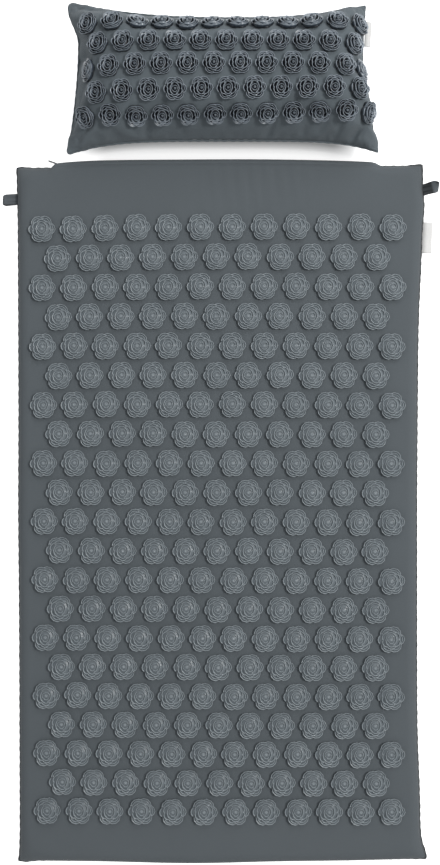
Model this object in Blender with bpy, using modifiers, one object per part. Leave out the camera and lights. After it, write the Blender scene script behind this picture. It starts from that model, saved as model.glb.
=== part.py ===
"""Acupressure mat with its pillow: cotton covers, foam and filling, and rows of moulded rosettes.

The origin is the middle of the mat's underside. +Y points to the head end, where the pillow lies,
+X to the right as seen from above, and +Z up. All lengths are in metres.
"""
import math

import bmesh
import bpy
from mathutils import Matrix, Vector

# Fit between neighbouring pieces
GAP = 0.0003                  # clearance between two pieces that touch
CUT_OVERRUN = 0.003           # how far a cutter passes the wall that it cuts
CLOTH = 0.0010                # thickness of the cotton covers
WELD = 0.00001                # vertices this close are one
FLAT_ANGLE = math.radians(1.5)    # faces that lean less than this are one flat face

# Mat cover, as sewn round its foam
MAT_WIDTH = 0.400
MAT_LENGTH = 0.6905           # without the fold that stands over the zip
MAT_THICKNESS = 0.024
SEAM_HEIGHT = 0.011           # the side seam, between the top and the bottom panel
TOP_EDGE_RADIUS = 0.008
BOTTOM_EDGE_RADIUS = 0.006
CORNER_RADIUS_SHARE = 0.35    # upright corner edges, as a share of the edge radius
EDGE_SEGMENTS = 3

# Fold of the top panel that stands over the zip
FOLD_REACH = 0.0065
FOLD_THICKNESS = 0.0010
FOLD_OVERHANG = 0.003         # how far the fold runs past each end of the zip's opening
FOLD_POWER = 2.5              # how squarely the fold's outline is rounded
FOLD_POINTS = 16

# Rosettes
MAT_ROWS = 21
MAT_ROSETTE_LENGTH = 0.0275   # across two petal tips
MAT_ROSETTE_WIDTH = 0.0255
MAT_ROSETTE_HEIGHT = 0.0050
HEAD_MARGIN = 0.0630          # head edge to the first row's centre line
FOOT_MARGIN = 0.0497
SIDE_MARGIN = 0.0270          # side edge to the centre of a long row's last rosette
ROSETTE_SPACE = 0.0025        # least space between two rosettes of a row
BACKING = 0.0006              # thickness of the slice of backing under a row on the mat
BACKING_SPACE = 0.0006        # between the backings of two rows
BACKING_MARGIN = 0.0020       # backing past the last rosette's tip
PETALS = 6
VALLEY_SHARE = 0.86           # radius between two petals, as a share of the tip's radius
RIM_SHARE = 0.97              # radius of the outer petals' rims
RIM_HEIGHT_SHARE = 0.38       # and their height, as a share of the whole
INNER_SHARE = 0.62            # the same two for the inner petals
INNER_HEIGHT_SHARE = 0.58

# Zip in the head edge
ZIP_END_MARGIN = 0.037        # side edge to the end of the zip's opening
ZIP_OPENING_HEIGHT = 0.008
TAPE_OVERLAP = 0.001          # tape above and below the opening
TAPE_TAIL = 0.009             # tape past each end of the opening
TAPE_THICKNESS = 0.0007
CHAIN_HEIGHT = 0.0044
CHAIN_THICKNESS = 0.0016
STOP_LENGTH = 0.0020
STOP_HEIGHT = 0.0052
STOP_THICKNESS = 0.0008
SLIDER_LENGTH = 0.0086
SLIDER_WALL = 0.0010
SLIDER_PLATE = 0.0012
BRIDGE_LENGTH = 0.0056
BRIDGE_WIDTH = 0.0010
BRIDGE_BAR = 0.0010
BRIDGE_ROOM = 0.0017          # height of the window under the bridge
PULL_LENGTH = 0.0165
PULL_WIDTH = 0.0046
PULL_THICKNESS = 0.0009
PULL_EYE_LENGTH = 0.0036
PULL_EYE_WIDTH = 0.0020
PULL_REST_ANGLE = math.radians(20)

# Webbing loops in the side seams
LOOP_REACH = 0.0150           # from the seam to the fold of the loop
LOOP_WIDTH = 0.0110
WEBBING = 0.0013
LOOP_ROOT_RADIUS = 0.0015
LOOP_EYE_RADIUS = 0.0033
LOOP_EYE_TAIL_RADIUS = 0.0004
LEFT_LOOP_FROM_HEAD = 0.0300
RIGHT_LOOP_FROM_HEAD = 0.0215
LOOP_ARC_POINTS = 10

# Labels
LABEL_THICKNESS = 0.0007
MAT_LABEL_REACH = 0.0110
MAT_LABEL_LENGTH = 0.0312
MAT_LABEL_FROM_HEAD = 0.0708
PILLOW_LABEL_REACH = 0.0062
PILLOW_LABEL_LENGTH = 0.0245
PILLOW_LABEL_PLACE_SHARE = 0.62   # place along the half depth, from the middle to the head corner
PILLOW_LABEL_EASE = 0.0005    # room for the drawn-in edge behind the straight label

# Pillow
PILLOW_FROM_MAT = 0.0835      # mat's head edge to the middle of the pillow
PILLOW_MID_WIDTH = 0.281      # at mid depth, where the ends draw in
PILLOW_CORNER_WIDTH = 0.302
PILLOW_MID_DEPTH = 0.122      # at mid width, where the long sides draw in
PILLOW_CORNER_DEPTH = 0.147
PILLOW_SEAM_HEIGHT = 0.030
PILLOW_CROWN = 0.042          # top above the seam
PILLOW_BELLY = 0.037          # underside below the seam, before it is pressed flat
PILLOW_LIP = 0.0025           # least rise beside the seam, the turned-in seam allowance
FILL_SPACE = 0.0004           # between cover and filling
WIDTH_POWER = 6.5
DEPTH_POWER = 3.0
CROWN_POWER = 0.53
PILLOW_COLUMNS = 14
PILLOW_LINES = 8
PILLOW_ROWS = 5
PILLOW_ROSETTE_LENGTH = 0.0215
PILLOW_ROSETTE_WIDTH = 0.0200
PILLOW_ROSETTE_HEIGHT = 0.0043
PILLOW_END_MARGIN = 0.00575   # half the width less half a long row, along the cloth
PILLOW_ROSETTE_SPACE = 0.0025    # least space between two rosettes of a row
PILLOW_ROW_PITCH = 0.0230     # between rows, along the cloth
PILLOW_BACKING = 0.0010       # thickness of the backing under a row on the pillow
PILLOW_BACKING_WIDTH = 0.0220
WALK_STEPS = 600              # steps of the walk that measures along the cloth

# Worked out from the sizes above
HEAD_Y = (MAT_LENGTH - FOLD_REACH) / 2
FOOT_Y = HEAD_Y - MAT_LENGTH
SIDE_X = MAT_WIDTH / 2
ROW_PITCH = (MAT_LENGTH - HEAD_MARGIN - FOOT_MARGIN) / (MAT_ROWS - 1)
ROW_LENGTH = MAT_WIDTH - 2 * SIDE_MARGIN
MAT_LONG_ROW = 1 + int(ROW_LENGTH / (MAT_ROSETTE_LENGTH + ROSETTE_SPACE))
ROSETTE_PITCH = ROW_LENGTH / (MAT_LONG_ROW - 1)
BACKING_WIDTH = ROW_PITCH - BACKING_SPACE
ZIP_OPENING = MAT_WIDTH - 2 * ZIP_END_MARGIN
TAPE_FACE_Y = HEAD_Y - CLOTH - GAP
CHAIN_BACK_Y = TAPE_FACE_Y + GAP
CHAIN_FACE_Y = CHAIN_BACK_Y + CHAIN_THICKNESS
PLATE_BACK_Y = CHAIN_FACE_Y + GAP
PLATE_FACE_Y = PLATE_BACK_Y + SLIDER_PLATE
PIVOT_Y = PLATE_FACE_Y + BRIDGE_ROOM / 2
SLIDER_X = -ZIP_OPENING / 2 + STOP_LENGTH + GAP + SLIDER_LENGTH / 2
LOOP_PIVOT_X = SIDE_X + GAP + LOOP_ROOT_RADIUS
LOOP_TIP_RADIUS = LOOP_EYE_RADIUS + WEBBING
LOOP_STEM = LOOP_REACH - GAP - LOOP_ROOT_RADIUS - LOOP_TIP_RADIUS
PILLOW_Y = HEAD_Y + PILLOW_FROM_MAT
PILLOW_NARROWEST = min(PILLOW_MID_WIDTH, PILLOW_CORNER_WIDTH)
PILLOW_ROW_LENGTH = PILLOW_NARROWEST - 2 * PILLOW_END_MARGIN
PILLOW_LONG_ROW = 1 + int(PILLOW_ROW_LENGTH / (PILLOW_ROSETTE_LENGTH + PILLOW_ROSETTE_SPACE))
PILLOW_PITCH = PILLOW_ROW_LENGTH / (PILLOW_LONG_ROW - 1)    # between rosettes, along the cloth

for old in list(bpy.data.objects):
    bpy.data.objects.remove(old, do_unlink=True)

parts = bpy.data.collections.new("acupressure_mat")
guides = bpy.data.collections.new("cutters")
bpy.context.scene.collection.children.link(parts)
bpy.context.scene.collection.children.link(guides)


def to_linear(channel):
    """A colour channel from 0 to 255 as seen on screen, as Blender's linear value."""
    share = channel / 255
    return share / 12.92 if share <= 0.04045 else ((share + 0.055) / 1.055) ** 2.4


def material(name, screen_colour, roughness, metallic=0.0):
    made = bpy.data.materials.new(name)
    made.use_nodes = True
    shader = made.node_tree.nodes["Principled BSDF"]
    shader.inputs["Base Color"].default_value = [to_linear(c) for c in screen_colour] + [1.0]
    shader.inputs["Roughness"].default_value = roughness
    shader.inputs["Metallic"].default_value = metallic
    return made


mat_cloth = material("mat_cotton", (86, 91, 95), 0.9)
pillow_cloth = material("pillow_cotton", (86, 94, 100), 0.9)
foam = material("foam", (225, 220, 200), 0.95)
filling = material("filling", (235, 233, 226), 0.95)
mat_plastic = material("mat_rosette_plastic", (107, 114, 120), 0.4)
pillow_plastic = material("pillow_rosette_plastic", (58, 67, 77), 0.3)
tape_cloth = material("zip_tape", (60, 64, 68), 0.85)
chain_nylon = material("zip_chain", (52, 56, 60), 0.5)
zip_metal = material("zip_metal", (70, 74, 78), 0.35, 1.0)
webbing_cloth = material("webbing", (56, 61, 66), 0.85)
label_cloth = material("label_satin", (214, 214, 212), 0.6)


def add_piece(name, mesh, finish, location=(0, 0, 0), parent=None):
    """A named sub-part in the model's own collection."""
    piece = bpy.data.objects.new(name, mesh)
    if not mesh.materials:
        mesh.materials.append(finish)
    piece.location = location
    piece.parent = parent
    parts.objects.link(piece)
    return piece


def add_guide(name, mesh, location=(0, 0, 0)):
    """A cutter or a joining shape, which is no part of the model."""
    guide = bpy.data.objects.new(name, mesh)
    guide.location = location
    guide.hide_render = True
    guide.display_type = "WIRE"
    guides.objects.link(guide)
    return guide


def add_pivot(name, location, parent=None):
    """An empty on a joint's axis, which carries the moving piece."""
    pivot = bpy.data.objects.new(name, None)
    pivot.location = location
    pivot.parent = parent
    parts.objects.link(pivot)
    return pivot


def to_mesh(made, name):
    """The mesh that a bmesh holds, which is then freed."""
    bmesh.ops.recalc_face_normals(made, faces=made.faces)
    mesh = bpy.data.meshes.new(name)
    made.to_mesh(mesh)
    made.free()
    return mesh


def box_mesh(name, low, high):
    """A cube primitive stretched between two corners."""
    made = bmesh.new()
    bmesh.ops.create_cube(made, size=1.0)
    low, high = Vector(low), Vector(high)
    for vertex in made.verts:
        share = vertex.co + Vector((0.5, 0.5, 0.5))
        vertex.co = [low[i] + share[i] * (high[i] - low[i]) for i in range(3)]
    return to_mesh(made, name)


def join(piece, guide, operation):
    modifier = piece.modifiers.new(guide.name, "BOOLEAN")
    modifier.operation = operation
    modifier.object = guide


def evaluated_mesh(source, name):
    """The mesh of an object with modifiers, or of a curve, welded and without needless edges."""
    bpy.context.view_layer.update()
    graph = bpy.context.evaluated_depsgraph_get()
    mesh = bpy.data.meshes.new_from_object(source.evaluated_get(graph))
    mesh.name = name
    welded = bmesh.new()
    welded.from_mesh(mesh)
    bmesh.ops.remove_doubles(welded, verts=welded.verts, dist=WELD)
    bmesh.ops.dissolve_limit(welded, angle_limit=FLAT_ANGLE, verts=welded.verts, edges=welded.edges)
    welded.to_mesh(mesh)
    welded.free()
    return mesh


def outline_mesh(name, outlines, thickness):
    """A flat outline, with further outlines as its holes, raised by half the thickness each way."""
    curve = bpy.data.curves.new(name, "CURVE")
    curve.dimensions = "2D"
    curve.fill_mode = "BOTH"
    curve.extrude = thickness / 2
    for points in outlines:
        spline = curve.splines.new("POLY")
        spline.points.add(len(points) - 1)
        for point, (across, along) in zip(spline.points, points):
            point.co = (across, along, 0, 1)
        spline.use_cyclic_u = True
    flat = bpy.data.objects.new(name, curve)
    guides.objects.link(flat)
    mesh = evaluated_mesh(flat, name)
    bpy.data.objects.remove(flat)
    return mesh


def half_shell(name, low, high, radius, open_below):
    """A tray with rounded edges: a box without its open face, bevelled and given its wall."""
    made = bmesh.new()
    made.from_mesh(box_mesh(name + "_box", low, high))
    open_z = low[2] if open_below else high[2]
    open_faces = [f for f in made.faces if all(abs(v.co.z - open_z) < WELD for v in f.verts)]
    bmesh.ops.delete(made, geom=open_faces, context="FACES_ONLY")
    weight = made.edges.layers.float.new("bevel_weight_edge")
    for edge in made.edges:
        upright = abs(edge.verts[0].co.z - edge.verts[1].co.z) > WELD
        if upright:
            edge[weight] = CORNER_RADIUS_SHARE
        elif not edge.is_boundary:
            edge[weight] = 1.0
    mesh = bpy.data.meshes.new(name)
    made.to_mesh(mesh)
    made.free()
    piece = add_piece(name, mesh, mat_cloth)
    bevel = piece.modifiers.new("rounded_edges", "BEVEL")
    bevel.limit_method = "WEIGHT"
    bevel.width = radius
    bevel.segments = EDGE_SEGMENTS
    wall = piece.modifiers.new("cloth", "SOLIDIFY")
    wall.thickness = CLOTH
    wall.offset = -1
    wall.use_even_offset = True
    return piece


def fold_outline():
    """The fold over the zip: an arch that is tallest in the middle and fades out at its ends."""
    half = ZIP_OPENING / 2 + FOLD_OVERHANG
    root = HEAD_Y - CLOTH / 2
    arch = []
    for k in range(FOLD_POINTS + 1):
        share = 2 * k / FOLD_POINTS - 1
        rise = (1 - abs(share) ** FOLD_POWER) ** 0.5
        arch.append((share * half, HEAD_Y + rise * FOLD_REACH))
    return [(-half, root)] + arch[1:-1] + [(half, root)]


def build_mat_cover():
    """The two panels, each cut open for the zip, and the top one's fold over it."""
    top = half_shell("mat_top_panel", (-SIDE_X, FOOT_Y, SEAM_HEIGHT + GAP / 2),
                     (SIDE_X, HEAD_Y, MAT_THICKNESS), TOP_EDGE_RADIUS, True)
    bottom = half_shell("mat_bottom_panel", (-SIDE_X, FOOT_Y, 0),
                        (SIDE_X, HEAD_Y, SEAM_HEIGHT - GAP / 2), BOTTOM_EDGE_RADIUS, False)
    opening = add_guide("zip_opening", box_mesh(
        "zip_opening",
        (-ZIP_OPENING / 2, HEAD_Y - CLOTH - CUT_OVERRUN, SEAM_HEIGHT - ZIP_OPENING_HEIGHT / 2),
        (ZIP_OPENING / 2, HEAD_Y + CUT_OVERRUN, SEAM_HEIGHT + ZIP_OPENING_HEIGHT / 2)))
    join(top, opening, "DIFFERENCE")
    join(bottom, opening, "DIFFERENCE")
    fold_z = SEAM_HEIGHT + ZIP_OPENING_HEIGHT / 2 + FOLD_THICKNESS
    fold = add_guide("zip_fold", outline_mesh("zip_fold", [fold_outline()], FOLD_THICKNESS),
                     (0, 0, fold_z))
    join(top, fold, "UNION")


def build_foam():
    inset = CLOTH + GAP
    core = add_piece("mat_foam_core", box_mesh(
        "mat_foam_core", (-SIDE_X + inset, FOOT_Y + inset, inset),
        (SIDE_X - inset, TAPE_FACE_Y - TAPE_THICKNESS - GAP, MAT_THICKNESS - inset)), foam)
    bevel = core.modifiers.new("rounded_edges", "BEVEL")
    bevel.width = TOP_EDGE_RADIUS
    bevel.segments = EDGE_SEGMENTS


def add_rosette(made, place, length, width, height, sink):
    """One rosette: a lobed foot, outer petals, inner petals half a petal on, and the heart.

    A petal's rim is one point. The foot lies a sink below the place's own XY plane, with petal
    tips at its +X and -X ends.
    """
    stretch = width / length / math.sin(math.pi / 3)

    def point(half_petals, reach_share, z):
        """A point by its direction, in half petals from +X, its share of the radius and its z."""
        turn = math.pi * half_petals / PETALS
        reach = reach_share * length / 2
        at = Vector((reach * math.cos(turn), reach * math.sin(turn) * stretch, z))
        return made.verts.new(place @ at)

    foot = [point(k, VALLEY_SHARE if k % 2 else 1.0, -sink) for k in range(2 * PETALS)]
    outer = [point(2 * k, RIM_SHARE, height * RIM_HEIGHT_SHARE) for k in range(PETALS)]
    inner = [point(2 * k + 1, INNER_SHARE, height * INNER_HEIGHT_SHARE) for k in range(PETALS)]
    heart = point(0, 0, height)
    made.faces.new(list(reversed(foot)))
    for k in range(PETALS):
        before, tip, after = foot[2 * k - 1], foot[2 * k], foot[2 * k + 1]
        ahead = outer[(k + 1) % PETALS]
        made.faces.new((before, tip, outer[k]))
        made.faces.new((tip, after, outer[k]))
        made.faces.new((after, ahead, outer[k]))
        made.faces.new((outer[k], ahead, inner[k]))
        made.faces.new((inner[k - 1], outer[k], inner[k]))
        made.faces.new((inner[k - 1], inner[k], heart))


def flat_row_mesh(count):
    """A row of rosettes on its slice of backing, middle at the origin, backing's foot at z = 0."""
    half = (count - 1) * ROSETTE_PITCH / 2 + MAT_ROSETTE_LENGTH / 2 + BACKING_MARGIN
    name = "row_of_%d" % count
    backing = add_guide(name + "_backing", box_mesh(
        name + "_backing", (-half, -BACKING_WIDTH / 2, 0), (half, BACKING_WIDTH / 2, BACKING)))
    made = bmesh.new()
    for k in range(count):
        place = Matrix.Translation(((k - (count - 1) / 2) * ROSETTE_PITCH, 0, BACKING))
        add_rosette(made, place, MAT_ROSETTE_LENGTH, MAT_ROSETTE_WIDTH, MAT_ROSETTE_HEIGHT, 0)
    rosettes = add_guide(name + "_rosettes", to_mesh(made, name + "_rosettes"))
    join(backing, rosettes, "UNION")
    mesh = evaluated_mesh(backing, name)
    mesh.materials.clear()
    return mesh


def build_mat_rows():
    """Long rows take turns with rows of one rosette fewer."""
    meshes = {count: flat_row_mesh(count) for count in (MAT_LONG_ROW, MAT_LONG_ROW - 1)}
    for k in range(MAT_ROWS):
        y = HEAD_Y - HEAD_MARGIN - k * ROW_PITCH
        add_piece("mat_disc_row_%02d" % (k + 1), meshes[MAT_LONG_ROW - k % 2], mat_plastic,
                  (0, y, MAT_THICKNESS + GAP))


def build_zip():
    """Tapes behind the opening, the chain on them, a stop at each end, the slider and its pull."""
    reach = ZIP_OPENING / 2 + TAPE_TAIL
    tape_height = ZIP_OPENING_HEIGHT / 2 + TAPE_OVERLAP
    tape_back = TAPE_FACE_Y - TAPE_THICKNESS
    add_piece("mat_zip_tape_upper", box_mesh(
        "mat_zip_tape_upper", (-reach, tape_back, SEAM_HEIGHT + GAP / 2),
        (reach, TAPE_FACE_Y, SEAM_HEIGHT + tape_height)), tape_cloth)
    add_piece("mat_zip_tape_lower", box_mesh(
        "mat_zip_tape_lower", (-reach, tape_back, SEAM_HEIGHT - tape_height),
        (reach, TAPE_FACE_Y, SEAM_HEIGHT - GAP / 2)), tape_cloth)
    end = ZIP_OPENING / 2 - GAP
    chain = add_piece("mat_zip_chain", box_mesh(
        "mat_zip_chain", (-end, CHAIN_BACK_Y, SEAM_HEIGHT - CHAIN_HEIGHT / 2),
        (end, CHAIN_FACE_Y, SEAM_HEIGHT + CHAIN_HEIGHT / 2)), chain_nylon)
    bevel = chain.modifiers.new("rounded_edges", "BEVEL")
    bevel.width = CHAIN_THICKNESS / 4
    bevel.segments = 1
    stop_x = ZIP_OPENING / 2 - STOP_LENGTH / 2
    for name, x in (("mat_zip_stop_left", -stop_x), ("mat_zip_stop_right", stop_x)):
        add_piece(name, box_mesh(
            name, (x - STOP_LENGTH / 2 + GAP, PLATE_BACK_Y, SEAM_HEIGHT - STOP_HEIGHT / 2),
            (x + STOP_LENGTH / 2, PLATE_BACK_Y + STOP_THICKNESS, SEAM_HEIGHT + STOP_HEIGHT / 2)),
            zip_metal)
    slider_pivot = add_pivot("mat_zip_slide_axis", (SLIDER_X, PLATE_BACK_Y, SEAM_HEIGHT))
    build_slider(slider_pivot)
    pull_pivot = add_pivot("mat_zip_pull_axis", (0, PIVOT_Y - PLATE_BACK_Y, 0), slider_pivot)
    build_pull(pull_pivot)


def build_slider(pivot):
    """A channel that hooks over the chain's two edges, with a bridge on its face for the pull."""
    inner = CHAIN_HEIGHT / 2 + GAP
    outer = inner + SLIDER_WALL
    hook = TAPE_FACE_Y + GAP - PLATE_BACK_Y
    channel = [(-outer, hook), (-inner, hook), (-inner, 0), (inner, 0), (inner, hook), (outer, hook),
               (outer, SLIDER_PLATE), (-outer, SLIDER_PLATE)]
    mesh = outline_mesh("mat_zip_slider", [channel], SLIDER_LENGTH)
    # The outline lies in X and Y; the channel's run is turned from Z to X
    mesh.transform(Matrix(((0, 0, 1, 0), (0, 1, 0, 0), (-1, 0, 0, 0), (0, 0, 0, 1))))
    slider = add_piece("mat_zip_slider", mesh, zip_metal, parent=pivot)
    foot = SLIDER_PLATE - GAP
    top = SLIDER_PLATE + BRIDGE_ROOM
    half = BRIDGE_LENGTH / 2
    inside = half - BRIDGE_BAR
    arch = [(-half, foot), (-inside, foot), (-inside, top), (inside, top),
            (inside, foot), (half, foot), (half, top + BRIDGE_BAR), (-half, top + BRIDGE_BAR)]
    bridge = add_guide("zip_bridge", outline_mesh("zip_bridge", [arch], BRIDGE_WIDTH))
    bridge.parent = pivot
    join(slider, bridge, "UNION")


def build_pull(pivot):
    """A flat tab whose first bar passes under the bridge, turned to its rest angle."""
    bar = PULL_THICKNESS / 2
    half = PULL_WIDTH / 2
    tip = PULL_LENGTH - half
    outline = [(-bar, -half), (tip, -half)]
    for k in range(1, LOOP_ARC_POINTS):
        turn = math.pi * (k / LOOP_ARC_POINTS - 0.5)
        outline.append((tip + half * math.cos(turn), half * math.sin(turn)))
    outline += [(tip, half), (-bar, half)]
    eye_half = PULL_EYE_WIDTH / 2
    eye = [(bar, -eye_half), (bar + PULL_EYE_LENGTH, -eye_half),
           (bar + PULL_EYE_LENGTH, eye_half), (bar, eye_half)]
    mesh = outline_mesh("mat_zip_pull", [outline, eye], PULL_THICKNESS)
    # The tab's width stands upright, and it points to the left, turned out by its rest angle
    turned_out = Matrix.Rotation(math.pi - PULL_REST_ANGLE, 4, "Z")
    mesh.transform(turned_out @ Matrix.Rotation(math.pi / 2, 4, "X"))
    add_piece("mat_zip_pull", mesh, zip_metal, parent=pivot)


def hull_of_two_circles(near_radius, near_x, far_radius, far_x):
    """The outline of a band pulled round two circles, as points on their arcs."""
    lean = math.acos((near_radius - far_radius) / (far_x - near_x))
    points = []
    for k in range(LOOP_ARC_POINTS + 1):
        turn = -lean + 2 * lean * k / LOOP_ARC_POINTS
        points.append((far_x + far_radius * math.cos(turn), far_radius * math.sin(turn)))
    for k in range(LOOP_ARC_POINTS + 1):
        turn = lean + 2 * (math.pi - lean) * k / LOOP_ARC_POINTS
        points.append((near_x + near_radius * math.cos(turn), near_radius * math.sin(turn)))
    return points


def build_loop(name, side, from_head):
    """A folded length of webbing whose two ends are caught in the side seam."""
    outer = hull_of_two_circles(LOOP_ROOT_RADIUS, 0, LOOP_TIP_RADIUS, LOOP_STEM)
    eye = hull_of_two_circles(LOOP_EYE_TAIL_RADIUS, LOOP_ROOT_RADIUS + WEBBING,
                              LOOP_EYE_RADIUS, LOOP_STEM)
    mesh = outline_mesh(name, [outer, eye], LOOP_WIDTH)
    mesh.transform(Matrix.Rotation(math.pi / 2, 4, "X"))
    if side < 0:
        mesh.transform(Matrix.Rotation(math.pi, 4, "Z"))
    pivot = add_pivot(name + "_axis", (side * LOOP_PIVOT_X, HEAD_Y - from_head, SEAM_HEIGHT))
    add_piece(name, mesh, webbing_cloth, parent=pivot)


def build_label(name, reach, length, place, lean):
    """A folded cloth label, as a thin tab that stands out of the seam at its place."""
    root = LABEL_THICKNESS / 2
    mesh = box_mesh(name, (-root, -length / 2, -root), (reach, length / 2, root))
    pivot = add_pivot(name + "_axis", place)
    pivot.rotation_euler = (0, 0, lean)
    add_piece(name, mesh, label_cloth, parent=pivot)


def pillow_half_width(share):
    """Half width at a share of the half depth: the ends draw in between the corners."""
    return (PILLOW_MID_WIDTH + (PILLOW_CORNER_WIDTH - PILLOW_MID_WIDTH) * share ** 2) / 2


def pillow_half_depth(share):
    """Half depth at a share of the half width: the long sides draw in between the corners."""
    return (PILLOW_MID_DEPTH + (PILLOW_CORNER_DEPTH - PILLOW_MID_DEPTH) * share ** 2) / 2


def swell(across, along):
    """Height of the crown from 0 at the seam to 1 in the middle."""
    wide = max(0, 1 - abs(across) ** WIDTH_POWER) ** CROWN_POWER
    deep = max(0, 1 - abs(along) ** DEPTH_POWER) ** CROWN_POWER
    return wide * deep


def pillow_point(across, along, upper):
    """A point of the cover's outside, from its shares of the half width and half depth."""
    x = across * pillow_half_width(along)
    y = along * pillow_half_depth(across)
    rise = swell(across, along)
    if upper:
        return Vector((x, y, PILLOW_SEAM_HEIGHT + max(PILLOW_LIP, PILLOW_CROWN * rise)))
    return Vector((x, y, max(0, PILLOW_SEAM_HEIGHT - max(PILLOW_LIP, PILLOW_BELLY * rise))))


def pillow_sheet(upper, seam_gap):
    """A grid primitive drawn to the pillow's upper or lower face, with its lip down to the seam."""
    made = bmesh.new()
    bmesh.ops.create_grid(made, x_segments=PILLOW_COLUMNS, y_segments=PILLOW_LINES, size=1.0)
    for vertex in made.verts:
        across = math.sin(math.pi / 2 * vertex.co.x)
        along = math.sin(math.pi / 2 * vertex.co.y)
        vertex.co = pillow_point(across, along, upper)
    if not upper:
        bmesh.ops.reverse_faces(made, faces=made.faces)
    rim = [edge for edge in made.edges if edge.is_boundary]
    lip = bmesh.ops.extrude_edge_only(made, edges=rim)["geom"]
    for vertex in lip:
        if isinstance(vertex, bmesh.types.BMVert):
            vertex.co.z = PILLOW_SEAM_HEIGHT + (seam_gap if upper else -seam_gap) / 2
    return made


def build_pillow_cover(pivot):
    """The upper and lower panel, each a drawn grid given the cloth's thickness inwards."""
    for name, upper in (("pillow_top_panel", True), ("pillow_bottom_panel", False)):
        made = pillow_sheet(upper, GAP)
        mesh = bpy.data.meshes.new(name)
        made.to_mesh(mesh)
        made.free()
        panel = add_piece(name, mesh, pillow_cloth, parent=pivot)
        wall = panel.modifiers.new("cloth", "SOLIDIFY")
        wall.thickness = CLOTH
        wall.offset = -1


def build_pillow_fill(pivot):
    """The filling: both faces welded at the rim and drawn in by the cloth and a little room."""
    made = bmesh.new()
    for upper in (True, False):
        sheet = pillow_sheet(upper, 0)
        mesh = bpy.data.meshes.new("pillow_sheet")
        sheet.to_mesh(mesh)
        sheet.free()
        made.from_mesh(mesh)
        bpy.data.meshes.remove(mesh)
    bmesh.ops.remove_doubles(made, verts=made.verts, dist=WELD)
    made.normal_update()
    moves = [(vertex, vertex.normal.copy()) for vertex in made.verts]
    for vertex, outwards in moves:
        vertex.co -= outwards * (CLOTH + FILL_SPACE)
    add_piece("pillow_fill", to_mesh(made, "pillow_fill"), filling, parent=pivot)


def width_share(along, offset):
    """The share of the half width at a distance along the cloth from the middle of a row."""
    return walk(lambda share: pillow_point(share, along, True), offset)


def depth_share(offset):
    """The share of the half depth at a distance along the cloth from the middle."""
    return walk(lambda share: pillow_point(0, share, True), offset)


def walk(path, distance):
    """The share at which a path from its middle has run the given distance."""
    way = math.copysign(1.0, distance)
    gone = 0
    before = path(0)
    for k in range(1, WALK_STEPS):
        share = way * k / WALK_STEPS
        here = path(share)
        gone += (here - before).length
        if gone >= abs(distance):
            return share
        before = here
    return way * (WALK_STEPS - 1) / WALK_STEPS


def cloth_normal(across, along):
    """The cloth's outward direction, from short steps each way along its two shares."""
    step = 1 / WALK_STEPS
    run = pillow_point(across + step, along, True) - pillow_point(across - step, along, True)
    rise = pillow_point(across, along + step, True) - pillow_point(across, along - step, True)
    return run.cross(rise).normalized()


def curved_row(row_offset, count):
    """Seats of a row's rosettes on the pillow: each a point of the cloth and its outward normal."""
    seats = []
    along = depth_share(row_offset)
    for k in range(count):
        across = width_share(along, (k - (count - 1) / 2) * PILLOW_PITCH)
        seats.append((pillow_point(across, along, True), cloth_normal(across, along)))
    return seats


def seat_matrix(spot, outwards, lift):
    """The place of a rosette: its own X along the row, its Z along the cloth's normal."""
    across = outwards.cross(Vector((1, 0, 0))).normalized()
    along = across.cross(outwards).normalized()
    place = Matrix((along, across, outwards)).transposed().to_4x4()
    place.translation = spot + outwards * lift
    return place


def curved_row_mesh(name, seats):
    """The backing as a band of flat fields, one under each rosette, joined with the rosettes."""
    places = [seat_matrix(spot, outwards, 0) for spot, outwards in seats]
    end_reach = PILLOW_ROSETTE_LENGTH / 2 + BACKING_MARGIN / 2
    lines = []
    for k in range(len(seats) + 1):
        near = [j for j in (k - 1, k) if 0 <= j < len(seats)]
        middle = sum((seats[j][0] for j in near), Vector()) / len(near)
        outwards = sum((seats[j][1] for j in near), Vector()).normalized()
        across = sum((places[j].col[1].to_3d() for j in near), Vector()).normalized()
        if len(near) == 1:
            middle += places[near[0]].col[0].to_3d() * (end_reach if k else -end_reach)
        for side in (-1, 1):
            corner = middle + across * side * PILLOW_BACKING_WIDTH / 2
            lift = max((GAP - (corner - seats[j][0]).dot(seats[j][1])) / outwards.dot(seats[j][1])
                       for j in near)
            lines.append((corner + outwards * lift, corner + outwards * (lift + PILLOW_BACKING)))
    made = bmesh.new()
    rings = []
    for k in range(len(seats) + 1):
        (low_a, high_a), (low_b, high_b) = lines[2 * k], lines[2 * k + 1]
        rings.append([made.verts.new(point) for point in (low_a, low_b, high_b, high_a)])
    for before, after in zip(rings, rings[1:]):
        for k in range(4):
            made.faces.new((before[k], before[(k + 1) % 4], after[(k + 1) % 4], after[k]))
    made.faces.new(rings[0])
    made.faces.new(rings[-1])
    bmesh.ops.triangulate(made, faces=made.faces)
    backing = add_guide(name + "_backing", to_mesh(made, name + "_backing"))
    made = bmesh.new()
    for spot, outwards in seats:
        place = seat_matrix(spot, outwards, GAP + PILLOW_BACKING)
        add_rosette(made, place, PILLOW_ROSETTE_LENGTH, PILLOW_ROSETTE_WIDTH,
                    PILLOW_ROSETTE_HEIGHT, PILLOW_BACKING / 2)
    bmesh.ops.triangulate(made, faces=made.faces)
    rosettes = add_guide(name + "_rosettes", to_mesh(made, name + "_rosettes"))
    join(backing, rosettes, "UNION")
    mesh = evaluated_mesh(backing, name)
    mesh.materials.clear()
    return mesh


def build_pillow_rows(pivot):
    for k in range(PILLOW_ROWS):
        row_offset = ((PILLOW_ROWS - 1) / 2 - k) * PILLOW_ROW_PITCH
        name = "pillow_disc_row_%d" % (k + 1)
        seats = curved_row(row_offset, PILLOW_LONG_ROW - k % 2)
        add_piece(name, curved_row_mesh(name, seats), pillow_plastic, parent=pivot)


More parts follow.
